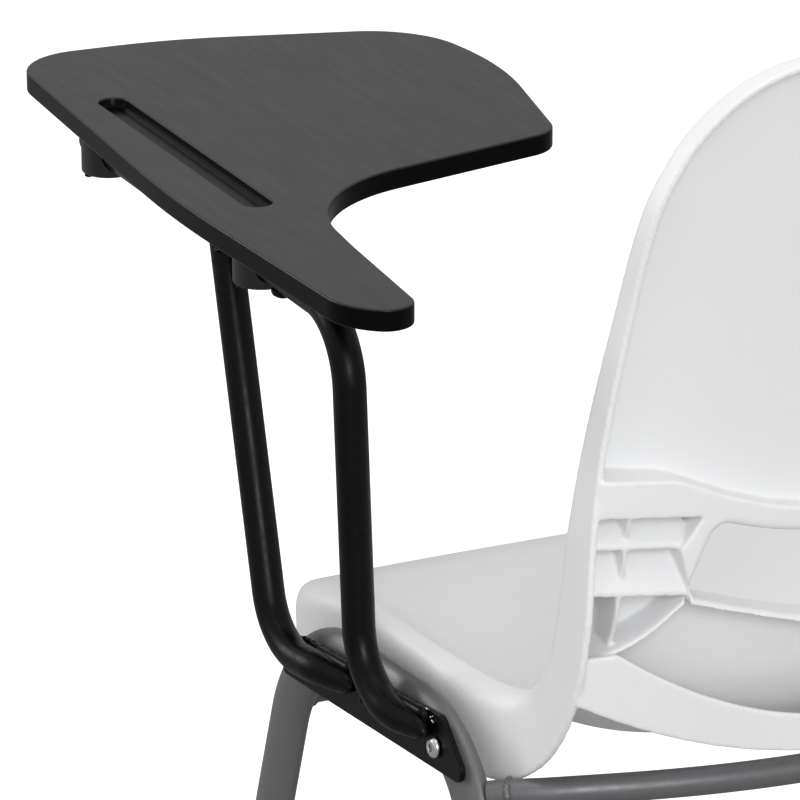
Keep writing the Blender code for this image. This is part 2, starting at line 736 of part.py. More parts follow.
def shell_skin(count_u, count_v, roll_steps, thickness):
    """The sheet as a closed skin: the sitter's side, and a side offset away from the sitter."""
    grid, loop, columns = shell_sheet(count_u, count_v, roll_steps)
    bm = bmesh.new()
    outer = [[bm.verts.new(p) for p, s in row] for row in grid]
    hang = [[bm.verts.new(p) for p in column] for column in columns]
    for j in range(count_v):
        for i in range(count_u):
            bm.faces.new((outer[j][i], outer[j][i + 1], outer[j + 1][i + 1], outer[j + 1][i]))
    for k, (i, j) in enumerate(loop):
        n = (k + 1) % len(loop)
        first = [outer[j][i]] + hang[k]
        second = [outer[loop[n][1]][loop[n][0]]] + hang[n]
        for a in range(len(first) - 1):
            bm.faces.new((first[a], first[a + 1], second[a + 1], second[a]))
    bmesh.ops.recalc_face_normals(bm, faces=bm.faces[:])
    bm.normal_update()
    middle = outer[count_v // 2][count_u // 2]
    sign = 1.0 if middle.normal.dot(centre_normal(CENTRE_LENGTH / 2)) > 0 else -1.0
    inner = {}
    for vert in list(bm.verts):
        inner[vert] = bm.verts.new(vert.co - vert.normal * (sign * thickness))
    for face in list(bm.faces):
        if face.verts[0] in inner:
            bm.faces.new([inner[v] for v in reversed(face.verts)])
    for k in range(len(loop)):
        n = (k + 1) % len(loop)
        a = hang[k][-1]
        b = hang[n][-1]
        bm.faces.new((a, inner[a], inner[b], b))
    bmesh.ops.triangulate(bm, faces=bm.faces[:])
    return bm


def skin_y(x, z, depth):
    """Y of the skin at a height on the back, at a depth under the sitter's surface."""
    low = 0.330
    high = CENTRE_LENGTH
    for i in range(30):
        s = (low + high) / 2.0
        if (surface_point(x, s) - centre_normal(s) * depth).z < z:
            low = s
        else:
            high = s
    return (surface_point(x, low) - centre_normal(low) * depth).y


def seat_z(x, y):
    """Height of the sitter's surface at a place on the seat."""
    low = 0.0
    high = 0.260
    for i in range(30):
        s = (low + high) / 2.0
        if surface_point(x, s).y < y:
            low = s
        else:
            high = s
    return surface_point(x, low).z


def rear_y(x):
    """Rear plane of the back's ribs, which bows a little round the back."""
    return BACK_Y - 0.22 * x * x


def bowl(x, low, blend, slope):
    """A shallow V with a rounded middle: its height at x."""
    return low + math.hypot(blend, slope * x) - blend


def belt_top(x):
    return min(0.5555 + 1.85 * x * x, 0.5775 + 0.1 * abs(x))


def slot_top(x):
    return 0.5403 + 1.245 * x * x


def slot_bottom(x):
    return bowl(x, 0.4775, 0.009, 0.335)


def lip_bottom(x):
    return bowl(x, 0.4715, 0.009, 0.325)


def band_low(x):
    """Lower edge of the band round the slot: the lip below the slot, and the belt beside it."""
    if abs(x) <= LIP_X:
        return lip_bottom(x)
    return 0.551 + 0.109 * abs(x)


def apron_top(x):
    return min(0.4125 + 2.05 * x * x, 0.4790)


def apron_bottom(x):
    return 0.3890 + 1.36 * x * x


def back_band(xs, low, high, inset, bite, front=None):
    """A rib across the back: from inside the skin, or from a front depth, to the rear plane.

    inset(x, z) is how far its rear edge stands in front of the rear plane, and bite is how far
    it reaches into the skin's thickness. No two ribs that cross share a bite, so no faces meet flush."""
    bm = bmesh.new()
    rings = []
    for x in xs:
        z0 = low(x)
        z1 = high(x)
        back0 = rear_y(x) - inset(x, z0)
        back1 = rear_y(x) - inset(x, z1)
        if front is None:
            y0 = skin_y(x, z0, SHELL_T * (1.0 - bite))
            y1 = skin_y(x, z1, SHELL_T * (1.0 - bite))
        else:
            y0 = back0 - front
            y1 = back1 - front
        corners = ((x, y0, z0), (x, y1, z1), (x, back1, z1), (x, back0, z0))
        rings.append([bm.verts.new(c) for c in corners])
    for a, b in zip(rings, rings[1:]):
        bridge_rings(bm, a, b)
    bm.faces.new(rings[0])
    bm.faces.new(rings[-1])
    bmesh.ops.triangulate(bm, faces=bm.faces[:])
    return bm


def spread(low, high, count):
    return [low + (high - low) * i / count for i in range(count + 1)]


def flush(x, z):
    return 0.0


def shell_ribs():
    """Solids that are joined to the skin behind the back."""
    belt = spread(-BELT_X, -LIP_X - RIB_STEP, 3)
    belt += spread(-LIP_X, LIP_X, 14)
    belt += spread(LIP_X + RIB_STEP, BELT_X, 3)
    parts = [back_band(belt, band_low, belt_top, flush, 0.5),
             back_band(spread(-APRON_X, APRON_X, 18), apron_bottom, apron_top, flush, 0.0, APRON_T)]
    for sign in (-1.0, 1.0):
        for base, slope, reach in SHELVES:
            ledge = spread(sign * (LIP_X - 0.003), sign * reach, 3)
            parts.append(back_band(ledge, lambda x, b=base, m=slope: b + m * abs(x),
                                   lambda x, b=base, m=slope: b + m * abs(x) + RIB_T,
                                   lambda x, z: SHELF_INSET, 0.38))
        fin = [sign * x for x in FIN_X]
        parts.append(back_band(fin, lambda x: FIN_Z[0], lambda x: FIN_Z[1],
                               lambda x, z: 0.0100 + FIN_TAPER * (FIN_Z[1] - z), 0.62))
        brace = spread(sign * BRACE_X[0], sign * BRACE_X[1], 2)
        parts.append(back_band(brace, lambda x: BRACE_Z - BRACE_SLOPE * abs(x),
                               lambda x: BRACE_Z + RIB_T - BRACE_SLOPE * abs(x),
                               lambda x, z: SHELF_INSET + BRACE_TAPER * (abs(x) - BRACE_X[0]), 0.73))
    return parts


def slot_cutter():
    """The opening through the back, rounded at its ends."""
    upper = []
    lower = []
    for turn in spread(-1.0, 1.0, 26):
        share = math.sin(turn * math.pi / 2.0)
        x = SLOT_X * share
        end = max(abs(x) - (SLOT_X - SLOT_CORNER), 0.0) / SLOT_CORNER
        pinch = SLOT_CORNER * (1.0 - math.sqrt(max(1.0 - end * end, 0.0)))
        for line, z in ((upper, slot_top(x) - pinch), (lower, slot_bottom(x) + pinch)):
            line.append((x - SLOT_SLANT * share * (z - 0.532), z))
    return extruded(upper + lower[::-1], -0.16, 0.10, Matrix.Rotation(math.radians(90.0), 4, "X"))


def build_shell():
    shell = add_object("seat_shell", shell_skin(SHELL_U, SHELL_V, 2, SHELL_T), WHITE_SHELL, 35.0)
    for bm in shell_ribs():
        boolean(shell, add_cutter("join_rib", bm), "UNION")
    for sign in (-1.0, 1.0):
        for y in SUPPORT_Y:
            base = SUPPORT_TOP_Z + GAP
            height = seat_z(sign * BOSS_X, y) - SHELL_T * 0.6 - base
            boss = turned([(BOSS_R, 0.0), (BOSS_R + 0.001, height)], 16,
                          Matrix.Translation((sign * BOSS_X, y, base)))
            boolean(shell, add_cutter("join_boss", boss), "UNION")
    boolean(shell, add_cutter("cut_slot", slot_cutter()))
    for sign in (-1.0, 1.0):
        for y in SUPPORT_Y:
            place = Matrix.Translation((sign * BOSS_X, y, SUPPORT_TOP_Z))
            hole = turned([(SCREW_R + GAP, -0.01), (SCREW_R + GAP, 0.0145)], 12, place)
            boolean(shell, add_cutter("cut_boss", hole))


def move_to_origin():
    for obj in bpy.data.objects:
        if obj.parent is None:
            obj.location = obj.location + SHIFT


# ---------------------------------------------------------------- assembly
clear_scene()
build_side_frames()
build_glides()
build_cross_tubes()
build_supports()
build_seat_screws()
build_plate()
build_bolts()
build_posts()
build_rest()
build_stop_screw()
build_tablet()
build_shell()
move_to_origin()
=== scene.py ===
import math

import bmesh
import bpy
from mathutils import Matrix, Vector, noise


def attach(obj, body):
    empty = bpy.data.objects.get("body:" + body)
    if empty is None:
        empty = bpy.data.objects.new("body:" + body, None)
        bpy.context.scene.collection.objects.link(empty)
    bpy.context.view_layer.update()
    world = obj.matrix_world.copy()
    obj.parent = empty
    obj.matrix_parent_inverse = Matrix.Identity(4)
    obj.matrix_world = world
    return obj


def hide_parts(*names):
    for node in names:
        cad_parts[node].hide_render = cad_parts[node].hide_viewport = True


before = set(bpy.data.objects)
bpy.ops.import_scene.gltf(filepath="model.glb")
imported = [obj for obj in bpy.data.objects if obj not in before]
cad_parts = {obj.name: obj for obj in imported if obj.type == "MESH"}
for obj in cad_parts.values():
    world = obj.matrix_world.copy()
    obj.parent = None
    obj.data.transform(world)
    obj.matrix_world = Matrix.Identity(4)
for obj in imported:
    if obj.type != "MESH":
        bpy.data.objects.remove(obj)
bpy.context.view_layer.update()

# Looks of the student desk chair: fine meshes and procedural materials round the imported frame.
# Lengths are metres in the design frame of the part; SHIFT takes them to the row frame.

SHIFT = Vector((-0.0125, 0.2355, 0.0))
GAP = 0.0003

# ---- frame and tablet, as in the part
OVAL_A = 0.019
OVAL_B = 0.01
WALL = 0.0018
RAIL_Z = 0.395
RAIL_X = 0.241
FLARE = 0.08
FRAME_R = 0.085
FRONT_CORNER_Y = -0.207
REAR_CORNER_Y = 0.016
FRONT_RAKE = 0.082
REAR_RAKE = 0.096
FRAME_LEAN = 0.066
TUBE_END_Z = 0.0063
GLIDE_H = 0.034
GLIDE_WALL = 0.0026
CROSS_R = 0.0095
FRONT_CROSS_Y = -0.221
FRONT_CROSS_Z = 0.343
REAR_CROSS_Y = 0.1
REAR_CROSS_BOW = 0.9
REAR_CROSS_Z = 0.374
REAR_CROSS_END = (0.014, 0.01)
SUPPORT_Y = (-0.185, -0.115)
SUPPORT_TOP_Z = 0.359
BOSS_X = 0.11
BOSS_R = 0.012
PLATE_T = 0.004
PLATE_TILT = math.radians(3.6)
PLATE_CORNERS = [(-0.2145, -0.0125, 0.006), (0.0385, -0.02, 0.008),
                 (0.0005, 0.02, 0.008), (-0.207, 0.015, 0.007)]
BOLT_Z = 0.39
BOLT_PLACES = ((-0.0055, -0.003), (-0.095, 0.0035))
POST_R = 0.0111
POST_WALL = 0.0016
POST_BEND = 0.05
HINGE_X = 0.2745
HINGE_Z = 0.652
HINGE_END_Y = -0.532
TABLET_TOP_Z = 0.695
TABLET_T = 0.015
TABLET_CORNERS = [(0.2725, 0.023, 0.0185), (0.318, -0.011, 0.048), (0.3293, -0.26, 1.2),
                  (0.308, -0.61, 0.05), (0.185, -0.6065, 0.35), (0.009, -0.555, 0.075),
                  (-0.006, -0.446, 0.3), (0.0295, -0.2875, 0.031), (0.248, -0.237, 0.12),
                  (0.261, -0.118, 0.6)]
GROOVE_X = 0.281
GROOVE_Y = (-0.4885, -0.2185)
GROOVE_HALF = 0.0105
GROOVE_DEPTH = 0.0065
BLOCK_R = 0.0195
BLOCK_BOTTOM_Z = 0.636
BLOCK_Y = (-0.505, -0.237)
REST_Y = -0.4
REST_X = 0.15

# ---- frame and tablet, finer than the part
# heights over the floor, and how far the glide stands out from the tube there
GLIDE_LEVELS = [(0.0, 0.0006), (0.0009, 0.0016), (0.003, GLIDE_WALL), (GLIDE_H - 0.0012, GLIDE_WALL),
                (GLIDE_H - 0.0003, GLIDE_WALL - 0.0005), (GLIDE_H, GLIDE_WALL - 0.0012), (GLIDE_H, GAP)]
FRONT_CROSS_REACH = 0.002  # how far the front tube runs past the middle of a side frame
REAR_CROSS_SHORT = 0.004  # how far the rear tube stops before it
REAR_CROSS_POWER = 8  # how late the rear tube's ends turn forward and down
PRESS_SHARE = 0.075  # share of the rear tube's length over which an end is pressed
PRESS_TALL = 0.16
PRESS_FLAT = 0.12
REAR_WELD_R = 0.0022
REAR_WELD_IN = 0.0045  # from the side frame's inner face to the weld
REAR_WELD_SHAPE = (1.14, 0.95)  # height and depth of the rear weld's path, in tube radii
FRONT_WELD_R = 0.002
FRONT_WELD_IN = 0.0015
WELD_STEP = 0.0009
WELD_SIDES = 12
WELD_HINT = Vector((0.3, 0.2, 1.0))
WELD_RIPPLE = 0.06
WELD_LUMPS = 0.35
PLATE_EDGE = 0.0013
BOLT_SHANK = (0.004, -0.0118)  # radius, and height of its inner end
# rows of radius and height over the plate's outer face
BOLT_DOME = ((0.007, 0.0008), (0.0071, 0.0016), (0.0069, 0.0024), (0.0062, 0.0033),
             (0.005, 0.004), (0.0041, 0.0042))
BOLT_SOCKET = ((0.0031, 0.0042), (0.0028, 0.0038), (0.0028, 0.0014))
BOLT_FLOOR = (0.0004, 0.0006)
REAR_POST_X = (-0.015, -0.084)  # along the plate: start of the centre line, and its first bend
FRONT_POST_X = (-0.112, -0.2)
REAR_POST_Y = 0.01  # across the plate
FRONT_POST_Y = 0.012
FRONT_POST_LIFT = 0.0015  # how far its first bend lies out from the plate
REAR_POST_MEETS_Y = -0.1  # where each post comes up to the hinge line
FRONT_POST_MEETS_Y = -0.299
POST_STEP = 0.0012
CRIMP_LENGTH = 0.042  # length over which a post's lower end is pressed
CRIMP_FLAT = 0.5  # share of its radius that it gives up toward the plate
FOLD_SHARE = 0.26  # share of its radius that it gives up to the fold
FOLD_R = 0.0036
FOLD_TIP = math.sqrt(0.02)  # share of its radius that the fold starts with
FOLD_END = 1.0 / 7.0  # share of its length over which it grows to the rest
FOLD_LENGTH = 0.044
FOLD_AHEAD = 0.003  # how far the fold starts before the side welds
TIP_REACH = 0.004  # how far a post's closed end runs on past the tube's own end
TIP_OPEN = 0.22  # share of its size that the very tip keeps
TIP_DROP = 0.4  # how far the tip sinks, in post radii
CLOSED_END = 0.013  # length over which a post's lower end closes
# where each post's side welds start and end along the plate, and its place across it
POST_WELDS = (("rear", -0.017, -0.07, REAR_POST_Y), ("front", -0.114, -0.186, FRONT_POST_Y))
SIDE_WELD_R = 0.0021
SIDE_WELD_Y = 0.0085  # from the post's centre line
SIDE_WELD_Z = 0.0008  # over the plate's face
SIDE_WELD_WOBBLE = 0.0006
END_WELD_R = 0.0024
END_WELD_X = 0.0035  # past the side welds' start
END_WELD_HALF = 0.008
END_WELD_BOW = 0.003
END_WELD_Z = 0.003
JOINT_WELD_R = 0.002
JOINT_WELD_PLACE = (HINGE_X, -0.2835, HINGE_Z - 0.006)
JOINT_WELD_AXIS = (0, -0.35, 1.0)
# weld drops above the post ends; their bright zinc finish paints glints on them
DROP_COUNT = 14
DROP_TURNS = (2.4, 3.7, 5.1)  # angles from drop to drop, for its place in x and y and its size
DROP_SPREAD = (0.006, 0.0034)
DROP_Y = 0.0068
DROP_Z = 0.0012
DROP_R = (0.0003, 0.0005)  # smallest radius, and how much the largest adds
BOLT_SLOTS = (("rear", "zinc"), ("front", "black_steel"))
PLUG_IN_R = POST_R - POST_WALL - GAP
PLUG_PROFILE = [(0.0001, 0.0042), (0.006, 0.0041), (0.0092, 0.0036), (0.0106, 0.0028), (POST_R, 0.0018),
                (POST_R, GAP), (PLUG_IN_R, GAP), (PLUG_IN_R, -0.01)]
PLUG_GAP = 0.0002
REST_LOW_Z = HINGE_Z + 0.002
REST_T = 0.004
REST_EDGE = 0.0008
REST_HALF = 0.014
REST_ROOT = 0.009  # from the hinge line to the arm's root
REST_CORNER = (0.01, 0.002)  # radius at the free end and at the root
REST_WELD_R = 0.0022
REST_WELD_Z = 0.0015
BUMPER_IN = 0.016  # from the arm's free end
BUMPER_FOOT = [(0.0086, 0.0), (0.0093, 0.0006), (0.0095, 0.002)]
BUMPER_WAIST_R = 0.0092
BUMPER_TOP = ((0.0083, -0.0022), (0.0075, -0.0008), (0.0064, 0.0))
STOP_SCREW_Y = -0.199
STOP_SCREW_AXIS = (0.25, 0, -1)
STOP_SCREW_SUNK = 0.0006
STOP_SCREW_PROFILE = ((0.0068, 0.0), (0.0067, 0.0012), (0.0062, 0.0026), (0.0048, 0.004),
                      (0.0028, 0.0047), (0.0024, 0.0047), (0.0024, 0.003), (0.0003, 0.0024))
TABLET_EDGE = 0.0016
GROOVE_CORNER = 0.98  # of the groove's half width
# rows of height, over the board's top and over the groove's floor, and inset
GROOVE_RIM = [(0.0, -0.0011), (-0.0002, -0.0006), (-0.0006, -0.0002), (-0.0012, 0.0)]
GROOVE_FLOOR = [(0.003, 0.0006), (0.0013, 0.0015), (0.0004, 0.0029), (0.0, 0.0048)]
BOARD_MASK = (0.6935, 0.6947)  # heights between which the board's finish turns from edge to top
BLOCK_EDGE = 0.0022
BLOCK_DIMPLE = ((0.0075, 0.0012), (0.008, 0.0002))
BORE_GAP = 0.0005
BORE_REACH = 0.03  # how far the bore's cutter runs to each side of a block's middle

# ---- shell, as in the part
SHELL_T = 0.0045
BACK_Y = 0.112
LIP_X = 0.142
SLOT_CORNER = 0.012
APRON_X = 0.208
APRON_T = 0.005
RIB_T = 0.0035
CENTRE_LINE = [(-0.282, 0.398), (-0.246, 0.405), (-0.19, 0.402), (-0.12, 0.392), (-0.06, 0.382),
               (-0.01, 0.3775), (0.029, 0.3835), (0.058, 0.404), (0.076, 0.434), (0.0845, 0.469),
               (0.0885, 0.51), (0.092, 0.555), (0.095, 0.615), (0.101, 0.69), (0.11, 0.77),
               (0.119, 0.86)]
HALF_WIDTH = [(0.014, 0.2235), (0.04, 0.2255), (0.1, 0.2235), (0.23, 0.22), (0.285, 0.215),
              (0.35, 0.207), (0.405, 0.202), (0.505, 0.193), (0.567, 0.185), (0.642, 0.173),
              (0.722, 0.16), (0.762, 0.142), (0.813, 0.11)]
EDGE_RISE = [(0.0, 0.0), (0.05, 0.006), (0.09, 0.015), (0.16, 0.03), (0.23, 0.047),
             (0.274, 0.054), (0.314, 0.054), (0.35, 0.047), (0.384, 0.039), (0.42, 0.032),
             (0.461, 0.029), (0.506, 0.029), (0.567, 0.0255), (0.642, 0.02), (0.722, 0.0125),
             (0.813, 0.003)]
FLANGE_DEPTH = [(0.0, 0.033), (0.09, 0.043), (0.16, 0.048), (0.23, 0.054), (0.28, 0.054),
                (0.35, 0.047), (0.455, 0.043), (0.505, 0.035), (0.567, 0.025), (0.642, 0.019),
                (0.722, 0.015), (0.813, 0.012)]
ROLL_RADIUS = [(0.0, 0.016), (0.05, 0.012), (0.11, 0.007), (0.813, 0.006)]
FRONT_SWEEP = 0.014
TOP_SWEEP = 0.05

# ---- shell, finer than the part or a little different from it
SOFT_RADIUS = [(0.0, 0.023), (0.06, 0.016), (0.16, 0.012), (0.28, 0.017), (0.38, 0.014),
               (0.5, 0.008), (0.813, 0.006)]
FRONT_SWEEP_POWER = 5
TOP_SWEEP_POWER = 4
SEAT_RISE_POWER = 4.0  # how late the sitter's surface rises toward its edges
BACK_RISE_POWER = 2.5
RISE_TURN = (0.28, 0.15)  # where one power starts to turn into the other, and how long it takes
FLANGE_SPLAY = 0.05
FLANGE_STEPS = 8
BACK_START = 0.33  # lengths along the centre line between which heights are looked up
SEAT_END = 0.26
HALVINGS = 24
REAR_BOW = 0.22  # how the rear plane bends forward, by x squared
SLOT_X = 0.1255
SLOT_SLANT = 0.45
SLOT_MIDDLE_Z = 0.532
SLOT_ROUND = 0.005  # radius of the slot's rounded rear edge
BELT_X = 0.193
BELT_CORNER_SHARP = 600.0
SHELVES = ((0.5302, 0.1, 0.194), (0.4953, 0.12, 0.197))  # height at x = 0, slope, outer end
SHELF_IN = 0.004
POCKET_DEPTH = 0.023  # from the rear plane to the back of a pocket, at its top
POCKET_CORNER_X = 0.1232  # the pocket's inner edge under the belt
POCKET_BEND = (0.1388, 0.544)  # (x, z) where that edge turns back toward the slot
POCKET_FOOT = (0.131, 0.511)
FIN_PLACES = (0.173, 0.1745, 0.1785)
FIN_SHAPES = ((0.0015, 0.009, 0.003),  # inset from the rear plane at the top and below, thickness
              (0.004, 0.011, 0.003),
              (0.0045, 0.036, 0.0034))
FIN_POWER = 1.7  # how a fin's rear edge curves in toward its point
FIN_STEPS = 8
GUSSET_X = (0.133, 0.1965)
GUSSET_LINE = (0.585, -0.6)  # height at x = 0 and slope
GUSSET_SAG = (0.135, 0.05, 0.004)  # where its sag starts, how long that is and how deep
GUSSET_IN = 0.004
GUSSET_TAPER = 0.08

# ---- pieces of the frame that stay, by the start of their names
CAD_SLOTS = (("seat_support", "grey_frame"), ("seat_screw", "zinc"), ("rivet_nut", "zinc"),
             ("block_screw", "black_steel"))

# ---- fineness
ROUND = 40  # sides of a round tube
OVAL_SIDES = 48  # sides of an oval tube, a glide, a bolt and a bore
DRUM_SIDES = 56
FOLD_SIDES = 24
BEND_STEPS = 26
RING_STEPS = 64
FRAME_STEP = 0.03  # longest stretch of each part's path
CROSS_STEP = 0.02
POST_PATH_STEP = 0.0015
REAR_CROSS_STEPS = 120
SHELL_U = 72
SHELL_V = 190
VOXEL = 0.0011
SMOOTH_TURNS = 9

# ---- camera and light
CAMERA_AZIMUTH = math.radians(155.0)
CAMERA_ELEVATION = math.radians(20.0)
CAMERA_DISTANCE = 3.6
CAMERA_LENS = 252.5
CAMERA_SENSOR = 36.0
CAMERA_CLIP = 100.0
CAMERA_TARGET = Vector((0.255, -0.0611, 0.6072))
WHITE_LIGHT = (1.0, 1.0, 1.0, 1.0)
WORLD_STRENGTH = 0.68
LIGHT_TARGET = Vector((0.0, 0.2, 0.5))
LIGHTS = (("key", (1.1, 3.7, 2.1), 2.0, 68.0),  # name, place, size, power
          ("side", (2.6, -2.4, 1.6), 1.6, 34.0),
          ("top", (0.5, 0.4, 3.4), 2.0, 16.0))
FLOOR_SIZE = 60.0
FLOOR_THROWN = (0.36, 0.36, 0.36)
FLOOR_SEEN = (0.94, 0.94, 0.94)
FLOOR_GLOW = 0.45


# ---- node helpers for materials
NOISE_RANGE = (0.3, 0.7)


class Nodes:
    """A short hand for building one Principled material out of procedural nodes."""

    def __init__(self, name, roughness, metallic=0.0):
        self.material = bpy.data.materials.new(name)
        self.material.use_nodes = True
        self.tree = self.material.node_tree
        self.shader = self.tree.nodes["Principled BSDF"]
        self.shader.inputs["Roughness"].default_value = roughness
        self.shader.inputs["Metallic"].default_value = metallic
        self.place = self.tree.nodes.new("ShaderNodeTexCoord").outputs["Object"]

    def link(self, source, target):
        self.tree.links.new(source, target)

    def add(self, kind, values, sources, output, **settings):
        """A new node with its settings, values and linked sources; gives one of its outputs."""
        node = self.tree.nodes.new("ShaderNode" + kind)
        for name, value in settings.items():
            setattr(node, name, value)
        for slot, value in values.items():
            node.inputs[slot].default_value = value
        for slot, source in sources.items():
            self.link(source, node.inputs[slot])
        return node.outputs[output]

    def noise(self, scale, detail=3.0, stretch=(1.0, 1.0, 1.0)):
        place = self.add("Mapping", {"Scale": stretch}, {"Vector": self.place}, "Vector")
        return self.add("TexNoise", {"Scale": scale, "Detail": detail}, {"Vector": place}, "Fac")

    def height(self):
        return self.add("SeparateXYZ", {}, {"Vector": self.place}, "Z")

    def specks(self, scale, size):
        """1 inside small scattered round marks, 0 elsewhere."""
        distance = self.add("TexVoronoi", {"Scale": scale}, {"Vector": self.place}, "Distance")
        return self.remap(distance, 0.0, size, 1.0, 0.0)

    def remap(self, value, low, high, out_low, out_high):
        limits = {"From Min": low, "From Max": high, "To Min": out_low, "To Max": out_high}
        return self.add("MapRange", limits, {"Value": value}, "Result")

    def vary(self, noise, low, high):
        """A noise's usual range stretched between two values."""
        return self.remap(noise, *NOISE_RANGE, low, high)

    def combine(self, operation, a, b):
        return self.add("Math", {}, {0: a, 1: b}, "Value", operation=operation)

    def blend(self, factor, dark, light):
        colors = {"A": (*dark, 1.0), "B": (*light, 1.0)}
        return self.add("Mix", colors, {"Factor": factor}, "Result", data_type="RGBA")

    def color(self, socket):
        self.link(socket, self.shader.inputs["Base Color"])

    def roughness(self, socket):
        self.link(socket, self.shader.inputs["Roughness"])

    def bump(self, height, distance, strength):
        values = {"Strength": strength, "Distance": distance}
        self.link(self.add("Bump", values, {"Height": height}, "Normal"), self.shader.inputs["Normal"])


def white_plastic():
    """Off-white moulded polypropylene: satin, a faint flow pattern, fine grain and a few specks."""
    n = Nodes("moulded_white", 0.42)
    n.shader.inputs["Subsurface Weight"].default_value = 0.08
    n.shader.inputs["Subsurface Radius"].default_value = (0.006, 0.006, 0.005)
    n.shader.inputs["Specular IOR Level"].default_value = 0.42
    flow = n.noise(9.0, 4.0, (1.0, 1.0, 0.35))
    n.color(n.blend(n.vary(flow, 0.0, 1.0), (0.800, 0.803, 0.810), (0.828, 0.831, 0.837)))
    n.roughness(n.vary(n.noise(60.0), 0.38, 0.50))
    grain = n.remap(n.noise(1400.0, 2.0), 0.0, 1.0, 0.0, 0.4)
    marks = n.specks(70.0, 0.05)
    n.bump(n.combine("ADD", grain, marks), 0.00006, 0.5)
    return n.material


def board_finish():
    """Dark grey textured top with faint streaks; the edge and the groove are smooth and black."""
    n = Nodes("tablet_board", 0.40)
    top = n.remap(n.height(), *BOARD_MASK, 0.0, 1.0)
    n.link(n.remap(top, 0.0, 1.0, 0.05, 0.27), n.shader.inputs["Specular IOR Level"])
    streaks = n.noise(26.0, 8.0, (5.0, 0.5, 1.0))
    narrow = n.remap(streaks, 0.25, 0.75, 0.72, 1.0)
    broad = n.vary(n.noise(6.0), 0.85, 1.0)
    tone = n.combine("MULTIPLY", n.combine("MULTIPLY", narrow, broad), top)
    n.color(n.blend(tone, (0.0022, 0.0022, 0.0024), (0.0285, 0.0285, 0.0295)))
    rough = n.combine("MULTIPLY", n.vary(streaks, 0.16, 0.24), top)
    n.roughness(n.remap(rough, 0.0, 1.0, 0.24, 1.24))
    n.bump(n.combine("MULTIPLY", streaks, top), 0.00008, 0.35)
    return n.material


def powder_black():
    """Semi-gloss black powder coat with a fine orange peel and dust specks."""
    n = Nodes("powder_black", 0.30)
    n.shader.inputs["Specular IOR Level"].default_value = 0.13
    n.color(n.blend(n.noise(45.0), (0.0018, 0.0018, 0.0020), (0.0034, 0.0034, 0.0036)))
    n.roughness(n.vary(n.noise(150.0), 0.26, 0.42))
    peel = n.noise(900.0, 2.0)
    n.bump(n.combine("ADD", peel, n.specks(260.0, 0.08)), 0.00007, 0.45)
    return n.material


def powder_grey():
    """Satin grey powder coat with a slight metallic fleck."""
    n = Nodes("powder_grey", 0.40, 0.35)
    fleck = n.noise(2200.0, 2.0)
    n.color(n.blend(n.remap(fleck, 0.35, 0.65, 0.0, 1.0), (0.120, 0.120, 0.125), (0.166, 0.166, 0.172)))
    n.roughness(n.vary(n.noise(120.0), 0.34, 0.48))
    n.bump(n.noise(850.0, 2.0), 0.00007, 0.4)
    return n.material


def zinc_plate():
    """Bright zinc with a patchy polish and a fine grain."""
    n = Nodes("zinc_plate", 0.26, 1.0)
    n.color(n.blend(n.noise(260.0), (0.50, 0.50, 0.49), (0.74, 0.74, 0.72)))
    n.roughness(n.vary(n.noise(500.0), 0.18, 0.38))
    n.bump(n.noise(2600.0, 2.0), 0.00003, 0.5)
    return n.material


def dark_plastic(name, dark, light, roughness):
    """Moulded dark plastic with a fine even texture."""
    n = Nodes(name, roughness)
    n.color(n.blend(n.noise(80.0), dark, light))
    n.roughness(n.vary(n.noise(240.0), roughness - 0.06, roughness + 0.08))
    n.bump(n.noise(1800.0, 2.0), 0.00005, 0.6)
    return n.material


# the look of each material slot of the record
LOOKS = {
    "white_shell": white_plastic(),
    "black_board": board_finish(),
    "black_steel": powder_black(),
    "grey_frame": powder_grey(),
    "zinc": zinc_plate(),
    "black_plastic": dark_plastic("black_plastic", (0.004, 0.004, 0.0044), (0.008, 0.008, 0.0085), 0.42),
    "grey_plastic": dark_plastic("grey_plastic", (0.055, 0.055, 0.058), (0.085, 0.085, 0.090), 0.55),
}


# ---- mesh helpers
def new_object(name, bm):
    """An object in the scene from a mesh in work, which is used up."""
    mesh = bpy.data.meshes.new(name)
    bm.to_mesh(mesh)
    bm.free()
    obj = bpy.data.objects.new(name, mesh)
    bpy.context.scene.collection.objects.link(obj)
    return obj


def add_piece(name, bm, slot, nodes=(), body="chair", sharp=40.0):
    """Moves a mesh from the design frame to the row frame and hangs it on its body."""
    bmesh.ops.recalc_face_normals(bm, faces=bm.faces[:])
    bmesh.ops.translate(bm, verts=bm.verts[:], vec=SHIFT)
    obj = new_object(name, bm)
    obj.data.materials.append(LOOKS[slot])
    obj.data.shade_smooth()
    obj.data.set_sharp_from_angle(angle=math.radians(sharp))
    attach(obj, body)
    if nodes:
        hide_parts(*nodes)
    return obj


def loose_object(name, bm):
    """A mesh that is only a step on the way to a piece."""
    bmesh.ops.recalc_face_normals(bm, faces=bm.faces[:])
    return new_object(name, bm)


def even_normals(obj):
    """Keeps large flat faces flat where they meet a small rounded edge."""
    mod = obj.modifiers.new("normals", "WEIGHTED_NORMAL")
    mod.keep_sharp = True
    mod.weight = 100


def add_bevel(obj, width, angle):
    mod = obj.modifiers.new("edge", "BEVEL")
    mod.width = width
    mod.segments = 2
    mod.limit_method = "ANGLE"
    mod.angle_limit = math.radians(angle)


def evaluated(obj):
    """The object's mesh after its modifiers, as a new mesh in work."""
    bpy.context.view_layer.update()
    result = obj.evaluated_get(bpy.context.evaluated_depsgraph_get()).to_mesh()
    bm = bmesh.new()
    bm.from_mesh(result)
    return bm


def cut_mesh(target, cutter):
    """The target's mesh after its cut; both helper objects are removed."""
    mod = target.modifiers.new("cut", "BOOLEAN")
    mod.operation = "DIFFERENCE"
    mod.solver = "EXACT"
    mod.object = cutter
    bm = evaluated(target)
    for obj in (target, cutter):
        bpy.data.objects.remove(obj, do_unlink=True)
    return bm


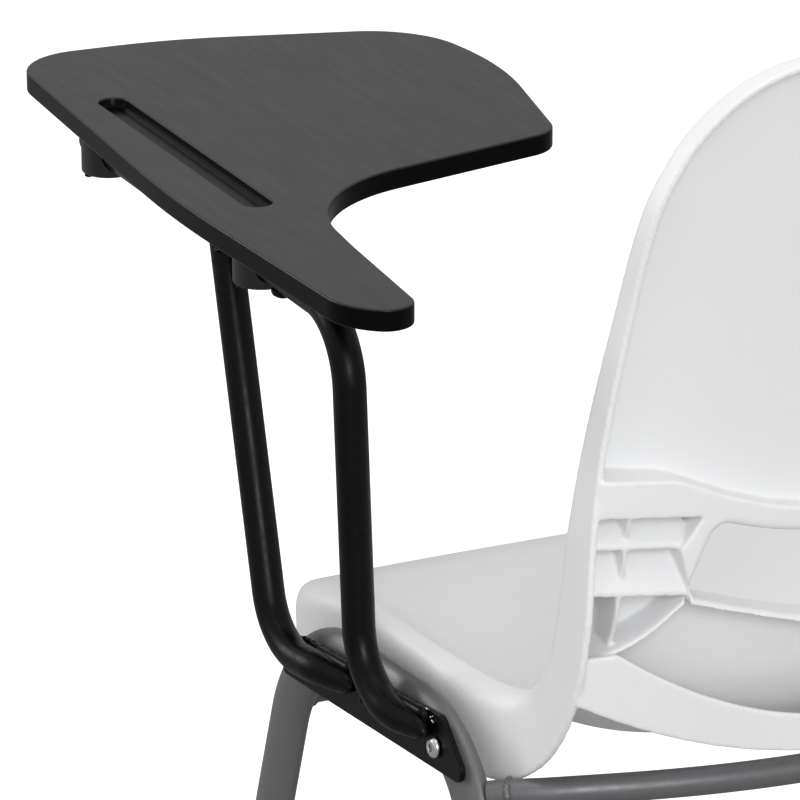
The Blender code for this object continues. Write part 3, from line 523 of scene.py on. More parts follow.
def spread(low, high, count):
    """Evenly spaced numbers from low to high, count steps apart."""
    return [low + (high - low) * i / count for i in range(count + 1)]


def ease(t):
    """A soft start and a soft end between 0 and 1."""
    return t * t * (3.0 - 2.0 * t)


def round_end(t):
    """Thickness of a rounded end, from 0 at its tip to 1 where t reaches 1."""
    return math.sqrt(max(0.0, 1.0 - (1.0 - min(1.0, t)) ** 2))


def round_corner(before, corner, after, radius, steps):
    """Points of a circular bend of the given radius that replaces a corner."""
    d1 = (before - corner).normalized()
    d2 = (after - corner).normalized()
    half = d1.angle(d2) / 2.0
    start = corner + d1 * (radius / math.tan(half))
    end = corner + d2 * (radius / math.tan(half))
    centre = corner + (d1 + d2).normalized() * (radius / math.sin(half))
    axis = (start - centre).cross(end - centre).normalized()
    points = []
    for i in range(steps + 1):
        turn = Matrix.Rotation((math.pi - 2.0 * half) * i / steps, 3, axis)
        points.append(centre + turn @ (start - centre))
    return points


def bent_path(corners, radius):
    points = [corners[0]]
    for before, corner, after in zip(corners, corners[1:], corners[2:]):
        points += round_corner(before, corner, after, radius, BEND_STEPS)
    return points + [corners[-1]]


def resampled(points, step):
    """The same path with extra points, so that no stretch is longer than step."""
    result = [points[0]]
    for a, b in zip(points, points[1:]):
        parts = max(1, math.ceil((b - a).length / step))
        result += [a.lerp(b, (i + 1) / parts) for i in range(parts)]
    return result


def ring_frames(points, side_hint):
    """A centre, a side direction, an in-plane direction and a tangent for each path point."""
    frames = []
    for i, point in enumerate(points):
        back = points[max(i - 1, 0)]
        ahead = points[min(i + 1, len(points) - 1)]
        tangent = (ahead - back).normalized()
        side = (side_hint - tangent * side_hint.dot(tangent)).normalized()
        frames.append((point, side, tangent.cross(side), tangent))
    return frames


def ring_vertices(bm, place, half_side, half_plane, count, flat_z=None):
    """An oval ring at a place of a path, square to it, or cut level at the height flat_z."""
    centre, side, plane, tangent = place
    ring = []
    for i in range(count):
        angle = 2.0 * math.pi * i / count
        point = centre + side * (half_side * math.cos(angle)) + plane * (half_plane * math.sin(angle))
        if flat_z is not None:
            point = point + tangent * ((flat_z - point.z) / tangent.z)
        ring.append(bm.verts.new(point))
    return ring


def bridge_rings(bm, rings):
    """Walls between neighbouring rings."""
    for first, second in zip(rings, rings[1:]):
        for i in range(len(first)):
            j = (i + 1) % len(first)
            bm.faces.new((first[i], first[j], second[j], second[i]))


def close_rings(bm, rings):
    """Walls between neighbouring rings, and a face over the first and the last."""
    bridge_rings(bm, rings)
    bm.faces.new(rings[0])
    bm.faces.new(rings[-1])
    return bm


def swept_rings(bm, places, sizes, count, inset=0.0, level_ends=False):
    last = len(places) - 1
    rings = []
    for i, place in enumerate(places):
        half_side, half_plane = sizes(i / last)
        flat_z = place[0].z if level_ends and i in (0, last) else None
        rings.append(ring_vertices(bm, place, half_side - inset, half_plane - inset, count, flat_z))
    return rings


def tube(points, sizes, side_hint, count=ROUND):
    """A closed rod; sizes gives its half width across and in plane at each share of its length."""
    bm = bmesh.new()
    return close_rings(bm, swept_rings(bm, ring_frames(points, side_hint), sizes, count))


def open_tube(points, sizes, side_hint, count, wall):
    """A tube with a wall, whose two open ends are cut level."""
    bm = bmesh.new()
    places = ring_frames(points, side_hint)
    outer = swept_rings(bm, places, sizes, count, 0.0, True)
    bridge_rings(bm, outer)
    inner = swept_rings(bm, places, sizes, count, wall, True)
    bridge_rings(bm, inner)
    bridge_rings(bm, [outer[0], inner[0]])
    bridge_rings(bm, [outer[-1], inner[-1]])
    return bm


def even(half_side, half_plane):
    return lambda share: (half_side, half_plane)


def hexagon(angle):
    """How far a hexagon whose corners lie at 1 reaches at an angle."""
    step = math.pi / 3.0
    return math.cos(step / 2.0) / math.cos((angle % step) - step / 2.0)


def ring_about(bm, matrix, radius, height, count, shape=None):
    """A ring about local Z, round unless a shape says how far it reaches at each angle."""
    ring = []
    for i in range(count):
        angle = 2.0 * math.pi * i / count
        reach = radius * shape(angle) if shape else radius
        ring.append(bm.verts.new(matrix @ Vector((reach * math.cos(angle), reach * math.sin(angle), height))))
    return ring


def turned(profile, matrix, count=ROUND):
    """A solid of revolution about local Z from (radius, height) points, closed at both ends."""
    bm = bmesh.new()
    return close_rings(bm, [ring_about(bm, matrix, radius, height, count) for radius, height in profile])


def axis_matrix(origin, direction):
    rotation = Vector(direction).to_track_quat("Z", "Y").to_matrix().to_4x4()
    return Matrix.Translation(origin) @ rotation


def outline_points(corners, steps):
    """A closed flat outline whose (x, y, radius) corners are rounded."""
    points = []
    for i, (x, y, radius) in enumerate(corners):
        before = Vector((*corners[i - 1][:2], 0.0))
        after = Vector((*corners[(i + 1) % len(corners)][:2], 0.0))
        points += [p.xy for p in round_corner(before, Vector((x, y, 0.0)), after, radius, steps)]
    return points


def offset_outline(points, distance):
    """A closed flat outline moved inward by a distance."""
    area = sum(a.x * b.y - b.x * a.y for a, b in zip(points, points[1:] + points[:1]))
    sign = 1.0 if area > 0 else -1.0
    result = []
    for i, point in enumerate(points):
        along = (points[(i + 1) % len(points)] - points[i - 1]).normalized()
        result.append(point + Vector((-along.y, along.x)) * (distance * sign))
    return result


def outline_rings(bm, outline, layers, matrix=Matrix.Identity(4)):
    """A ring for each (height, inset) layer of an outline."""
    rings = []
    for height, inset in layers:
        flat = offset_outline(outline, inset)
        rings.append([bm.verts.new(matrix @ Vector((p.x, p.y, height))) for p in flat])
    return rings


def layered(outline, layers, matrix=Matrix.Identity(4)):
    """A solid from one outline repeated at (height, inset) layers."""
    bm = bmesh.new()
    return close_rings(bm, outline_rings(bm, outline, layers, matrix))


def rounded_layers(low, high, corner, steps=4):
    """Heights and insets of a slab with quarter-round edges."""
    turns = spread(0.0, math.pi / 2.0, steps)
    layers = [(low + corner * (1.0 - math.cos(t)), corner * (1.0 - math.sin(t))) for t in turns]
    return layers + [(high - corner * (1.0 - math.sin(t)), corner * (1.0 - math.cos(t))) for t in turns]


def mirrored(vector):
    return Vector((-vector.x, vector.y, vector.z))


def ring_path(centre, normal, radius_a, radius_b, hint):
    """A closed oval path round a centre; radius_a lies along the hint."""
    side = (hint - normal * hint.dot(normal)).normalized()
    other = normal.cross(side)
    points = []
    for angle in spread(0.0, 2.0 * math.pi, RING_STEPS):
        points.append(centre + side * (radius_a * math.cos(angle)) + other * (radius_b * math.sin(angle)))
    return points


def weld_bead(points, radius, seed):
    """A lumpy bead of weld metal along a path; its ends are a quarter as thick as the rest."""
    path = resampled(points, WELD_STEP)

    def sizes(share):
        ripple = 1.0 + WELD_RIPPLE * math.sin(share * len(path) * 0.9)
        lump = 1.0 + WELD_LUMPS * noise.noise(Vector((share * 9.0, seed, 0.0)))
        taper = min(1.0, 9.0 * share + 0.25, 9.0 * (1.0 - share) + 0.25)
        size = radius * ripple * lump * taper
        return size, size

    return tube(path, sizes, WELD_HINT, WELD_SIDES)


def add_weld(name, points, radius, seed, slot="black_steel"):
    add_piece("weld_" + name, weld_bead(points, radius, seed), slot)


# ---- frame
def rail_x(y):
    return RAIL_X - FLARE * y


def rail_forward():
    return Vector((FLARE, -1.0, 0.0)).normalized()


def rail_normal():
    level = Vector((1.0, FLARE, 0.0)).normalized()
    return (level + Vector((0.0, 0.0, FRAME_LEAN))).normalized()


def frame_corners():
    """The left side frame's centre line: front foot, front corner, rear corner, rear foot."""
    front = Vector((rail_x(FRONT_CORNER_Y), FRONT_CORNER_Y, RAIL_Z))
    rear = Vector((rail_x(REAR_CORNER_Y), REAR_CORNER_Y, RAIL_Z))
    down = rail_normal().cross(rail_forward())
    down = down * ((RAIL_Z - TUBE_END_Z) / -down.z)
    return [front + down + rail_forward() * FRONT_RAKE, front,
            rear, rear + down - rail_forward() * REAR_RAKE]


def side_frames():
    """Name, centre line and outward direction of each side frame."""
    return (("left", frame_corners(), rail_normal()),
            ("right", [mirrored(c) for c in frame_corners()], mirrored(rail_normal())))


def plate_matrix():
    """Plate frame: local X runs rearward along the plate, Y up, Z outward; zero is the rear bolt."""
    normal = rail_normal()
    rearward = Matrix.Rotation(PLATE_TILT, 3, normal) @ (-rail_forward())
    up = normal.cross(rearward)
    face = Vector((rail_x(0.0), 0.0, RAIL_Z)) + normal * (OVAL_B + GAP) + up * (BOLT_Z - RAIL_Z)
    rotation = Matrix((rearward, up, normal)).transposed().to_4x4()
    return Matrix.Translation(face) @ rotation


def rear_cross_point(x):
    """The rear tube bows rearward, and its ends turn forward and down."""
    share = (abs(x) / rail_x(0.0)) ** REAR_CROSS_POWER
    forward, down = REAR_CROSS_END
    y = REAR_CROSS_Y - REAR_CROSS_BOW * x * x - forward * share
    return Vector((x, y, REAR_CROSS_Z - down * share))


def make_side_frames():
    for side, corners, outward in side_frames():
        path = resampled(bent_path(corners, FRAME_R), FRAME_STEP)
        bm = open_tube(path, even(OVAL_B, OVAL_A), outward, OVAL_SIDES, WALL)
        add_piece("side_frame_%s_tube" % side, bm, "grey_frame", ["side_frame_" + side])


def glide_mesh(foot, corner, outward):
    """A cap round the end of a leg, level at each of its heights."""
    axis = (corner - foot).normalized()
    base = foot - axis * (foot.z / axis.z)
    across = (outward - axis * outward.dot(axis)).normalized()
    bm = bmesh.new()
    rings = []
    for height, extra in GLIDE_LEVELS:
        place = (base + axis * (height / axis.z), across, axis.cross(across), axis)
        rings.append(ring_vertices(bm, place, OVAL_B + extra, OVAL_A + extra, OVAL_SIDES, height))
    return close_rings(bm, rings)


def make_glides():
    for side, corners, outward in side_frames():
        for end, foot, corner in (("front", corners[0], corners[1]), ("rear", corners[3], corners[2])):
            node = "glide_%s_%s" % (end, side)
            bm = glide_mesh(foot, corner, outward)
            add_piece(node + "_cap", bm, "grey_plastic", [node])


def make_cross_tubes():
    """Each tube runs into the side frames; the rear one's ends are pressed tall and flat."""
    up = Vector((0, 0, 1))
    reach = rail_x(FRONT_CROSS_Y) + FRONT_CROSS_REACH
    front = [Vector((x, FRONT_CROSS_Y, FRONT_CROSS_Z)) for x in (-reach, reach)]
    bm = tube(resampled(front, CROSS_STEP), even(CROSS_R, CROSS_R), up)
    add_piece("front_cross_tube_bar", bm, "grey_frame", ["front_cross_tube"])
    reach = rail_x(0.0) - REAR_CROSS_SHORT
    rear = [rear_cross_point(x) for x in spread(-reach, reach, REAR_CROSS_STEPS)]

    def pressed(share):
        swell = ease(max(0.0, 1.0 - min(share, 1.0 - share) / PRESS_SHARE))
        return CROSS_R * (1.0 + PRESS_TALL * swell), CROSS_R * (1.0 - PRESS_FLAT * swell)

    bm = tube(rear, pressed, up)
    add_piece("rear_cross_tube_bow", bm, "grey_frame", ["rear_cross_tube"])


def make_frame_welds():
    up = Vector((0, 0, 1))
    for seed, (name, sign) in enumerate((("left", 1.0), ("right", -1.0))):
        x = sign * (rail_x(0.0) - OVAL_B - REAR_WELD_IN)
        centre = rear_cross_point(x)
        along = (rear_cross_point(x + sign * 0.004) - centre).normalized()
        tall, deep = (CROSS_R * share for share in REAR_WELD_SHAPE)
        path = ring_path(centre, along, tall, deep, up)
        add_weld("rear_" + name, path, REAR_WELD_R, seed, "grey_frame")
        x = sign * (rail_x(FRONT_CROSS_Y) - OVAL_B - FRONT_WELD_IN)
        centre = Vector((x, FRONT_CROSS_Y, FRONT_CROSS_Z))
        path = ring_path(centre, Vector((1, 0, 0)), CROSS_R, CROSS_R, up)
        add_weld("front_" + name, path, FRONT_WELD_R, seed + 7, "grey_frame")


# ---- tablet support
def make_plate():
    layers = rounded_layers(0.0, PLATE_T, PLATE_EDGE)
    bm = layered(outline_points(PLATE_CORNERS, 12), layers, plate_matrix())
    even_normals(add_piece("mount_plate_bevelled", bm, "black_steel", ["mount_plate"], sharp=30.0))


def bolt_mesh(matrix):
    """A shank and a domed head, with a six-sided socket in it."""
    head = PLATE_T + GAP
    radius, inner_end = BOLT_SHANK
    bm = bmesh.new()
    rings = [ring_about(bm, matrix, radius, height, OVAL_SIDES) for height in (inner_end, head)]
    for rows, shape in ((BOLT_DOME, None), (BOLT_SOCKET, hexagon), ((BOLT_FLOOR,), None)):
        rings += [ring_about(bm, matrix, r, head + height, OVAL_SIDES, shape) for r, height in rows]
    return close_rings(bm, rings)


def make_bolts():
    for (name, slot), place in zip(BOLT_SLOTS, BOLT_PLACES):
        bm = bolt_mesh(plate_matrix() @ Matrix.Translation((*place, 0.0)))
        add_piece("plate_bolt_%s_hex" % name, bm, slot, ["plate_bolt_" + name], sharp=30.0)


def post_corners():
    """Corners of the rear and the front post's centre lines, from the plate up."""
    matrix = plate_matrix()
    lift = PLATE_T + GAP + POST_R
    rear = [matrix @ Vector((x, REAR_POST_Y, lift)) for x in REAR_POST_X]
    rear += [Vector((HINGE_X, y, HINGE_Z)) for y in (REAR_POST_MEETS_Y, HINGE_END_Y)]
    front = [matrix @ Vector((FRONT_POST_X[0], FRONT_POST_Y, lift)),
             matrix @ Vector((FRONT_POST_X[1], FRONT_POST_Y, lift + FRONT_POST_LIFT)),
             Vector((HINGE_X, FRONT_POST_MEETS_Y, HINGE_Z))]
    return rear, front


def pressed_flat(length):
    """How far a post is pressed against the plate at a length from its tip."""
    return ease(max(0.0, 1.0 - length / CRIMP_LENGTH))


def opened(length):
    """How far a post's closed end has opened at a length from its tip."""
    return round_end(length / CLOSED_END)


def make_post(name, corners, node):
    """A post whose lower end is pressed against the plate and closed."""
    path = resampled(bent_path(corners, POST_BEND), POST_PATH_STEP)
    onward = (path[0] - path[1]).normalized()
    path = [path[0] + onward * (TIP_REACH * step / 3.0) for step in (3, 2, 1)] + path
    down = Vector((0.0, 0.0, -1.0))
    lengths = [0.0]
    for a, b in zip(path, path[1:]):
        lengths.append(lengths[-1] + (b - a).length)

    def sizes(share):
        length = share * lengths[-1]
        flat = pressed_flat(length)
        close = TIP_OPEN + (1.0 - TIP_OPEN) * opened(length)
        return (POST_R * (1.0 - CRIMP_FLAT * flat) * (1.0 + close) / 2.0,
                POST_R * (1.0 - FOLD_SHARE * flat) * close)

    lowered = []
    for point, length in zip(path, lengths):
        inward = (rail_normal() * CRIMP_FLAT - down * FOLD_SHARE) * (POST_R * pressed_flat(length))
        lowered.append(point - inward + down * (POST_R * TIP_DROP * (1.0 - opened(length))))
    bm = tube(resampled(lowered, POST_STEP), sizes, rail_normal())
    add_piece(name, bm, "black_steel", [node])


def make_fold(name, x0, y):
    """The small roll along the upper side of a post's pressed end, apart from it by a crease."""
    start = x0 + FOLD_AHEAD
    path = [plate_matrix() @ Vector((x, y + POST_R - FOLD_R, PLATE_T + FOLD_R))
            for x in spread(start, start - FOLD_LENGTH, 12)]

    def sizes(share):
        size = FOLD_R * max(FOLD_TIP, round_end(share / FOLD_END))
        return size, size

    bm = tube(resampled(path, POST_STEP), sizes, rail_normal(), FOLD_SIDES)
    add_piece("post_fold_" + name, bm, "black_steel")


def weld_post_sides(name, seed, x0, x1, y):
    """A bead along each side of a post's pressed end."""
    for edge, sign in (("upper", 1.0), ("lower", -1.0)):
        path = []
        for i, x in enumerate(spread(x0, x1, 12)):
            wobble = SIDE_WELD_WOBBLE * noise.noise(Vector((i * 0.7, seed, sign)))
            place = Vector((x, y + sign * SIDE_WELD_Y + wobble, PLATE_T + SIDE_WELD_Z))
            path.append(plate_matrix() @ place)
        add_weld("%s_post_%s" % (name, edge), path, SIDE_WELD_R, seed * 3 + sign)


def weld_post_end(name, seed, x0, y):
    """A bead across a post's closed end, in two straight halves that meet in a point."""
    matrix = plate_matrix()
    end = matrix @ Vector((x0 + END_WELD_X, y, PLATE_T + END_WELD_Z))
    rearward, up = (matrix.to_3x3() @ Vector(axis) for axis in ((1, 0, 0), (0, 1, 0)))
    path = []
    for i in range(11):
        bow = END_WELD_BOW * (1.0 - abs(i / 5.0 - 1.0))
        path.append(end + up * (END_WELD_HALF * math.cos(i * math.pi / 10.0)) - rearward * bow)
    add_weld("%s_post_end" % name, path, END_WELD_R, seed + 20)


def spatter_glints(name, seed, x0, y):
    """Small frozen drops of weld metal above the end of a post; their bright zinc finish is a painted glint.
    """
    bm = bmesh.new()
    for i in range(DROP_COUNT):
        turn_x, turn_y, turn_size = (i * turn + seed for turn in DROP_TURNS)
        place = Vector((x0 + END_WELD_X + DROP_SPREAD[0] * math.sin(turn_x),
                        y + DROP_Y + DROP_SPREAD[1] * math.cos(turn_y), PLATE_T + DROP_Z))
        spot = Matrix.Translation(plate_matrix() @ place)
        size = DROP_R[0] + DROP_R[1] * abs(math.sin(turn_size))
        bmesh.ops.create_icosphere(bm, subdivisions=2, radius=size, matrix=spot)
    # bright zinc makes the drops show as painted glints
    add_piece("weld_drop_glints_" + name, bm, "zinc")


def make_posts():
    rear, front = post_corners()
    make_post("hinge_tube_bent", rear, "hinge_tube")
    make_post("front_post_bent", front, "front_post")
    for seed, (name, x0, x1, y) in enumerate(POST_WELDS):
        make_fold(name, x0, y)
        weld_post_sides(name, seed, x0, x1, y)
        weld_post_end(name, seed, x0, y)
        spatter_glints(name, seed, x0, y)
    plug = turned(PLUG_PROFILE, axis_matrix((HINGE_X, HINGE_END_Y + PLUG_GAP, HINGE_Z), (0, -1, 0)))
    add_piece("hinge_tube_plug", plug, "black_plastic", ["hinge_tube_cap"])
    collar = ring_path(Vector(JOINT_WELD_PLACE), Vector(JOINT_WELD_AXIS).normalized(),
                       POST_R * 1.02, POST_R * 1.12, Vector((1, 0, 0)))
    add_weld("post_joint", collar, JOINT_WELD_R, 31)


def make_rest():
    """The flat arm under the tablet, the bumper on it, and the screw under the hinge tube."""
    high = REST_LOW_Z + REST_T
    near = REST_Y - REST_HALF
    far = REST_Y + REST_HALF
    root = HINGE_X - REST_ROOT
    end_corner, root_corner = REST_CORNER
    corners = [(REST_X, near, end_corner), (root, near, root_corner),
               (root, far, root_corner), (REST_X, far, end_corner)]
    bm = layered(outline_points(corners, 10), rounded_layers(REST_LOW_Z, high, REST_EDGE))
    add_piece("rest_arm_flat", bm, "black_steel", ["rest_arm"])
    seam = [Vector((HINGE_X - POST_R, y, HINGE_Z + REST_WELD_Z)) for y in spread(near, far, 12)]
    add_weld("rest_arm", seam, REST_WELD_R, 41)
    base = high + GAP
    top = TABLET_TOP_Z - TABLET_T - GAP - base
    profile = BUMPER_FOOT + [(BUMPER_WAIST_R, top * 0.5)] + [(r, top + z) for r, z in BUMPER_TOP]
    bumper = turned(profile, Matrix.Translation((REST_X + BUMPER_IN, REST_Y, base)))
    add_piece("rest_bumper_round", bumper, "black_plastic", ["rest_bumper"])
    profile = [(r, POST_R - STOP_SCREW_SUNK + height) for r, height in STOP_SCREW_PROFILE]
    screw = turned(profile, axis_matrix((HINGE_X, STOP_SCREW_Y, HINGE_Z), STOP_SCREW_AXIS))
    add_piece("stop_screw_domed", screw, "black_steel", ["stop_screw"])


# ---- tablet
def groove_points():
    """The groove's outline from above: a slot with nearly half-round ends."""
    radius = GROOVE_HALF * GROOVE_CORNER
    x0 = GROOVE_X - GROOVE_HALF
    x1 = GROOVE_X + GROOVE_HALF
    y0, y1 = GROOVE_Y
    return outline_points([(x0, y0, radius), (x1, y0, radius), (x1, y1, radius), (x0, y1, radius)], 14)


def make_tablet():
    """The board's edge is a quarter round above and below; the groove has a rounded rim and floor."""
    bm = bmesh.new()
    edge = rounded_layers(TABLET_TOP_Z - TABLET_T, TABLET_TOP_Z, TABLET_EDGE, 6)
    board = outline_rings(bm, outline_points(TABLET_CORNERS, 22), edge)
    bridge_rings(bm, board)
    bm.faces.new(board[0])
    layers = [(TABLET_TOP_Z + height, inset) for height, inset in GROOVE_RIM]
    layers += [(TABLET_TOP_Z - GROOVE_DEPTH + height, inset) for height, inset in GROOVE_FLOOR]
    groove = outline_rings(bm, groove_points(), layers)
    bridge_rings(bm, groove)
    bm.faces.new(groove[-1])
    edges = []
    for loop in (board[-1], groove[0]):
        edges += [bm.edges.get(pair) for pair in zip(loop, loop[1:] + loop[:1])]
    bmesh.ops.triangle_fill(bm, use_beauty=True, use_dissolve=False, edges=edges)
    even_normals(add_piece("tablet_top_board", bm, "black_board", ["tablet_top"], "tablet", 28.0))


def make_blocks():
    """Each block is a drum under the board, with the hinge tube's bore cut through it."""
    top = TABLET_TOP_Z - TABLET_T - GAP
    profile = [(radius, BLOCK_BOTTOM_Z + height) for radius, height in BLOCK_DIMPLE]
    rims = rounded_layers(BLOCK_BOTTOM_Z, top, BLOCK_EDGE, 5)
    profile += [(BLOCK_R - inset, height) for height, inset in rims]
    bore_r = POST_R + BORE_GAP
    for name, y in zip(("front", "rear"), BLOCK_Y):
        drum = turned(profile, Matrix.Translation((HINGE_X, y, 0.0)), DRUM_SIDES)
        axis = axis_matrix((HINGE_X, y + BORE_REACH, HINGE_Z), (0, -1, 0))
        bore = turned([(bore_r, 0.0), (bore_r, 2.0 * BORE_REACH)], axis, OVAL_SIDES)
        bm = cut_mesh(loose_object("drum_" + name, drum), loose_object("bore_" + name, bore))
        node = "pivot_block_" + name
        block = add_piece(node + "_drum", bm, "black_plastic", [node], "tablet")
        add_bevel(block, 0.0005, 50.0)
        for side in ("inner", "outer"):
            add_bevel(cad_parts["block_screw_%s_%s" % (name, side)], 0.0003, 30.0)


# ---- seat shell
def table_value(table, at):
    """A smooth value between the (position, value) rows of a table."""
    last = len(table) - 1
    if at <= table[0][0]:
        return table[0][1]
    if at >= table[last][0]:
        return table[last][1]
    k = 0
    while table[k + 1][0] < at:
        k += 1

    def slope(i):
        low = max(i - 1, 0)
        high = min(i + 1, last)
        return (table[high][1] - table[low][1]) / (table[high][0] - table[low][0])

    span = table[k + 1][0] - table[k][0]
    t = (at - table[k][0]) / span
    value = (2 * t ** 3 - 3 * t ** 2 + 1) * table[k][1] + (t ** 3 - 2 * t ** 2 + t) * span * slope(k)
    return value + (3 * t ** 2 - 2 * t ** 3) * table[k + 1][1] + (t ** 3 - t ** 2) * span * slope(k + 1)


def centre_tables():
    """The centre line's y and z by the length run along it, and its whole length."""
    length = 0.0
    rows_y = [(0.0, CENTRE_LINE[0][0])]
    rows_z = [(0.0, CENTRE_LINE[0][1])]
    for (y0, z0), (y1, z1) in zip(CENTRE_LINE, CENTRE_LINE[1:]):
        length += math.hypot(y1 - y0, z1 - z0)
        rows_y.append((length, y1))
        rows_z.append((length, z1))
    return rows_y, rows_z, length


CENTRE_Y, CENTRE_Z, CENTRE_LENGTH = centre_tables()


def centre_point(s):
    return Vector((0.0, table_value(CENTRE_Y, s), table_value(CENTRE_Z, s)))


def centre_normal(s):
    """Direction toward the sitter, square to the centre line."""
    step = 0.012
    tangent = centre_point(min(s + step, CENTRE_LENGTH)) - centre_point(max(s - step, 0.0))
    tangent.normalize()
    return Vector((0.0, -tangent.z, tangent.y))


def half_width(s):
    """Half width of the sitter's surface up to the start of the rolled edge."""
    return table_value(HALF_WIDTH, s) + table_value(ROLL_RADIUS, s) - table_value(SOFT_RADIUS, s)


def surface_point(x, s):
    """A point of the sitter's surface, which rises toward its side edges."""
    share = min(abs(x) / table_value(HALF_WIDTH, s), 1.0)
    start, length = RISE_TURN
    turn = min(max((s - start) / length, 0.0), 1.0)
    power = SEAT_RISE_POWER + (BACK_RISE_POWER - SEAT_RISE_POWER) * turn
    point = centre_point(s) + centre_normal(s) * (table_value(EDGE_RISE, s) * share ** power)
    point.x = x
    return point


def grid_place(u, v):
    """x and s at u across, from -1 to 1, and v along, from 0 at the front to 1 at the top."""
    front = FRONT_SWEEP * abs(u) ** FRONT_SWEEP_POWER
    top = CENTRE_LENGTH - TOP_SWEEP * abs(u) ** TOP_SWEEP_POWER
    edge = FRONT_SWEEP + (CENTRE_LENGTH - TOP_SWEEP - FRONT_SWEEP) * v
    return u * half_width(edge), front + (top - front) * v


def edge_flange(point, outward, s):
    """Points that roll over the rim and run down the flange, away from the sitter."""
    away = (-centre_normal(s) + outward * FLANGE_SPLAY).normalized()
    radius = table_value(SOFT_RADIUS, s)
    corner = point + outward * radius
    end = corner + away * radius
    points = []
    for t in spread(0.0, 1.0, FLANGE_STEPS)[1:]:
        points.append(point * (1 - t) ** 2 + corner * (2 * t * (1 - t)) + end * t ** 2)
    depth = table_value(FLANGE_DEPTH, s) - radius + table_value(ROLL_RADIUS, s)
    return points + [end + away * reach for reach in spread(0.0, depth, FLANGE_STEPS)[1:]]


def skin_grid():
    """Rows of the sitter's surface, from the front to the top, each place as a point and its s."""
    grid = []
    for j in range(SHELL_V + 1):
        places = [grid_place(2.0 * i / SHELL_U - 1.0, j / SHELL_V) for i in range(SHELL_U + 1)]
        grid.append([(surface_point(x, s), s) for x, s in places])
    return grid


def rim_places():
    """Grid places (i, j) once round the rim."""
    loop = [(i, 0) for i in range(SHELL_U)]
    loop += [(SHELL_U, j) for j in range(SHELL_V)]
    loop += [(i, SHELL_V) for i in range(SHELL_U, 0, -1)]
    return loop + [(0, j) for j in range(SHELL_V, 0, -1)]


def rim_flanges(bm, grid, loop):
    """The vertices of the flange under each place of the rim."""
    flanges = []
    for k, (i, j) in enumerate(loop):
        point, s = grid[j][i]
        before = loop[k - 2]
        after = loop[(k + 2) % len(loop)]
        along = (grid[after[1]][after[0]][0] - grid[before[1]][before[0]][0]).normalized()
        outward = along.cross(centre_normal(s)).normalized()
        flanges.append([bm.verts.new(p) for p in edge_flange(point, outward, s)])
    return flanges


def add_thickness(bm, middle, foot):
    """The skin's other face, joined to the first one at the flange's foot."""
    bmesh.ops.recalc_face_normals(bm, faces=bm.faces[:])
    bm.normal_update()
    sign = 1.0 if middle.normal.dot(centre_normal(CENTRE_LENGTH / 2)) > 0 else -1.0
    inner = {vert: bm.verts.new(vert.co - vert.normal * (sign * SHELL_T)) for vert in list(bm.verts)}
    for face in list(bm.faces):
        bm.faces.new([inner[v] for v in reversed(face.verts)])
    for a, b in zip(foot, foot[1:] + foot[:1]):
        bm.faces.new((a, inner[a], inner[b], b))


def shell_skin():
    """The whole skin with its rolled edges and flanges, as one closed body."""
    grid = skin_grid()
    loop = rim_places()
    bm = bmesh.new()
    outer = [[bm.verts.new(p) for p, _ in row] for row in grid]
    flanges = rim_flanges(bm, grid, loop)
    for j in range(SHELL_V):
        for i in range(SHELL_U):
            bm.faces.new((outer[j][i], outer[j][i + 1], outer[j + 1][i + 1], outer[j + 1][i]))
    strips = [[outer[j][i]] + flange for (i, j), flange in zip(loop, flanges)]
    for first, second in zip(strips, strips[1:] + strips[:1]):
        for a in range(len(first) - 1):
            bm.faces.new((first[a], first[a + 1], second[a + 1], second[a]))
    add_thickness(bm, outer[SHELL_V // 2][SHELL_U // 2], [strip[-1] for strip in strips])
    return bm


def halve(low, high, is_before):
    """The place between low and high up to which is_before holds."""
    for _ in range(HALVINGS):
        middle = (low + high) / 2.0
        if is_before(middle):
            low = middle
        else:
            high = middle
    return low


def mid_skin(x, s):
    """A point halfway through the skin."""
    return surface_point(x, s) - centre_normal(s) * (SHELL_T * 0.5)


def skin_y(x, z):
    """Y halfway through the skin at a height on the back."""
    return mid_skin(x, halve(BACK_START, CENTRE_LENGTH, lambda s: mid_skin(x, s).z < z)).y


def seat_z(x, y):
    """Height of the sitter's surface at a place on the seat."""
    return surface_point(x, halve(0.0, SEAT_END, lambda s: surface_point(x, s).y < y)).z


def rear_y(x):
    return BACK_Y - REAR_BOW * x * x


def bowl(x, low, blend, slope):
    """Height of two slopes that meet in a soft corner at x = 0."""
    return low + math.hypot(blend, slope * x) - blend


def belt_top(x):
    """The belt's upper edge; two lines that meet in a soft corner."""
    first = 0.5555 + 1.85 * x * x
    second = 0.5775 + 0.1 * abs(x)
    both = math.exp(-first * BELT_CORNER_SHARP) + math.exp(-second * BELT_CORNER_SHARP)
    return -math.log(both) / BELT_CORNER_SHARP


def slot_top(x):
    return 0.5403 + 1.245 * x * x


def slot_bottom(x):
    return bowl(x, 0.4775, 0.009, 0.335)


def lip_bottom(x):
    return bowl(x, 0.4715, 0.009, 0.325)


def belt_low(x):
    return 0.551 + 0.109 * abs(x)


def belt_floor(x):
    """Lower limit of the belt, which fills the slot's upper corners until the slot is cut."""
    if abs(x) >= POCKET_CORNER_X:
        return belt_low(x)
    return slot_top(x) - 0.012


def slot_side(x):
    """Upper limit of the lip, which fills the slot's lower corners until the slot is cut."""
    if abs(x) > SLOT_X - 0.016:
        return slot_top(x) - 0.011
    return slot_bottom(x) + 0.012


def apron_top(x):
    return min(0.4125 + 2.05 * x * x, 0.4790)


def apron_bottom(x):
    return 0.3890 + 1.36 * x * x


def section_band(xs, section):
    """A solid whose cross-section at each x is a closed loop of (y, z) points."""
    bm = bmesh.new()
    close_rings(bm, [[bm.verts.new((x, y, z)) for y, z in section(x)] for x in xs])
    bmesh.ops.triangulate(bm, faces=bm.faces[:])
    return bm


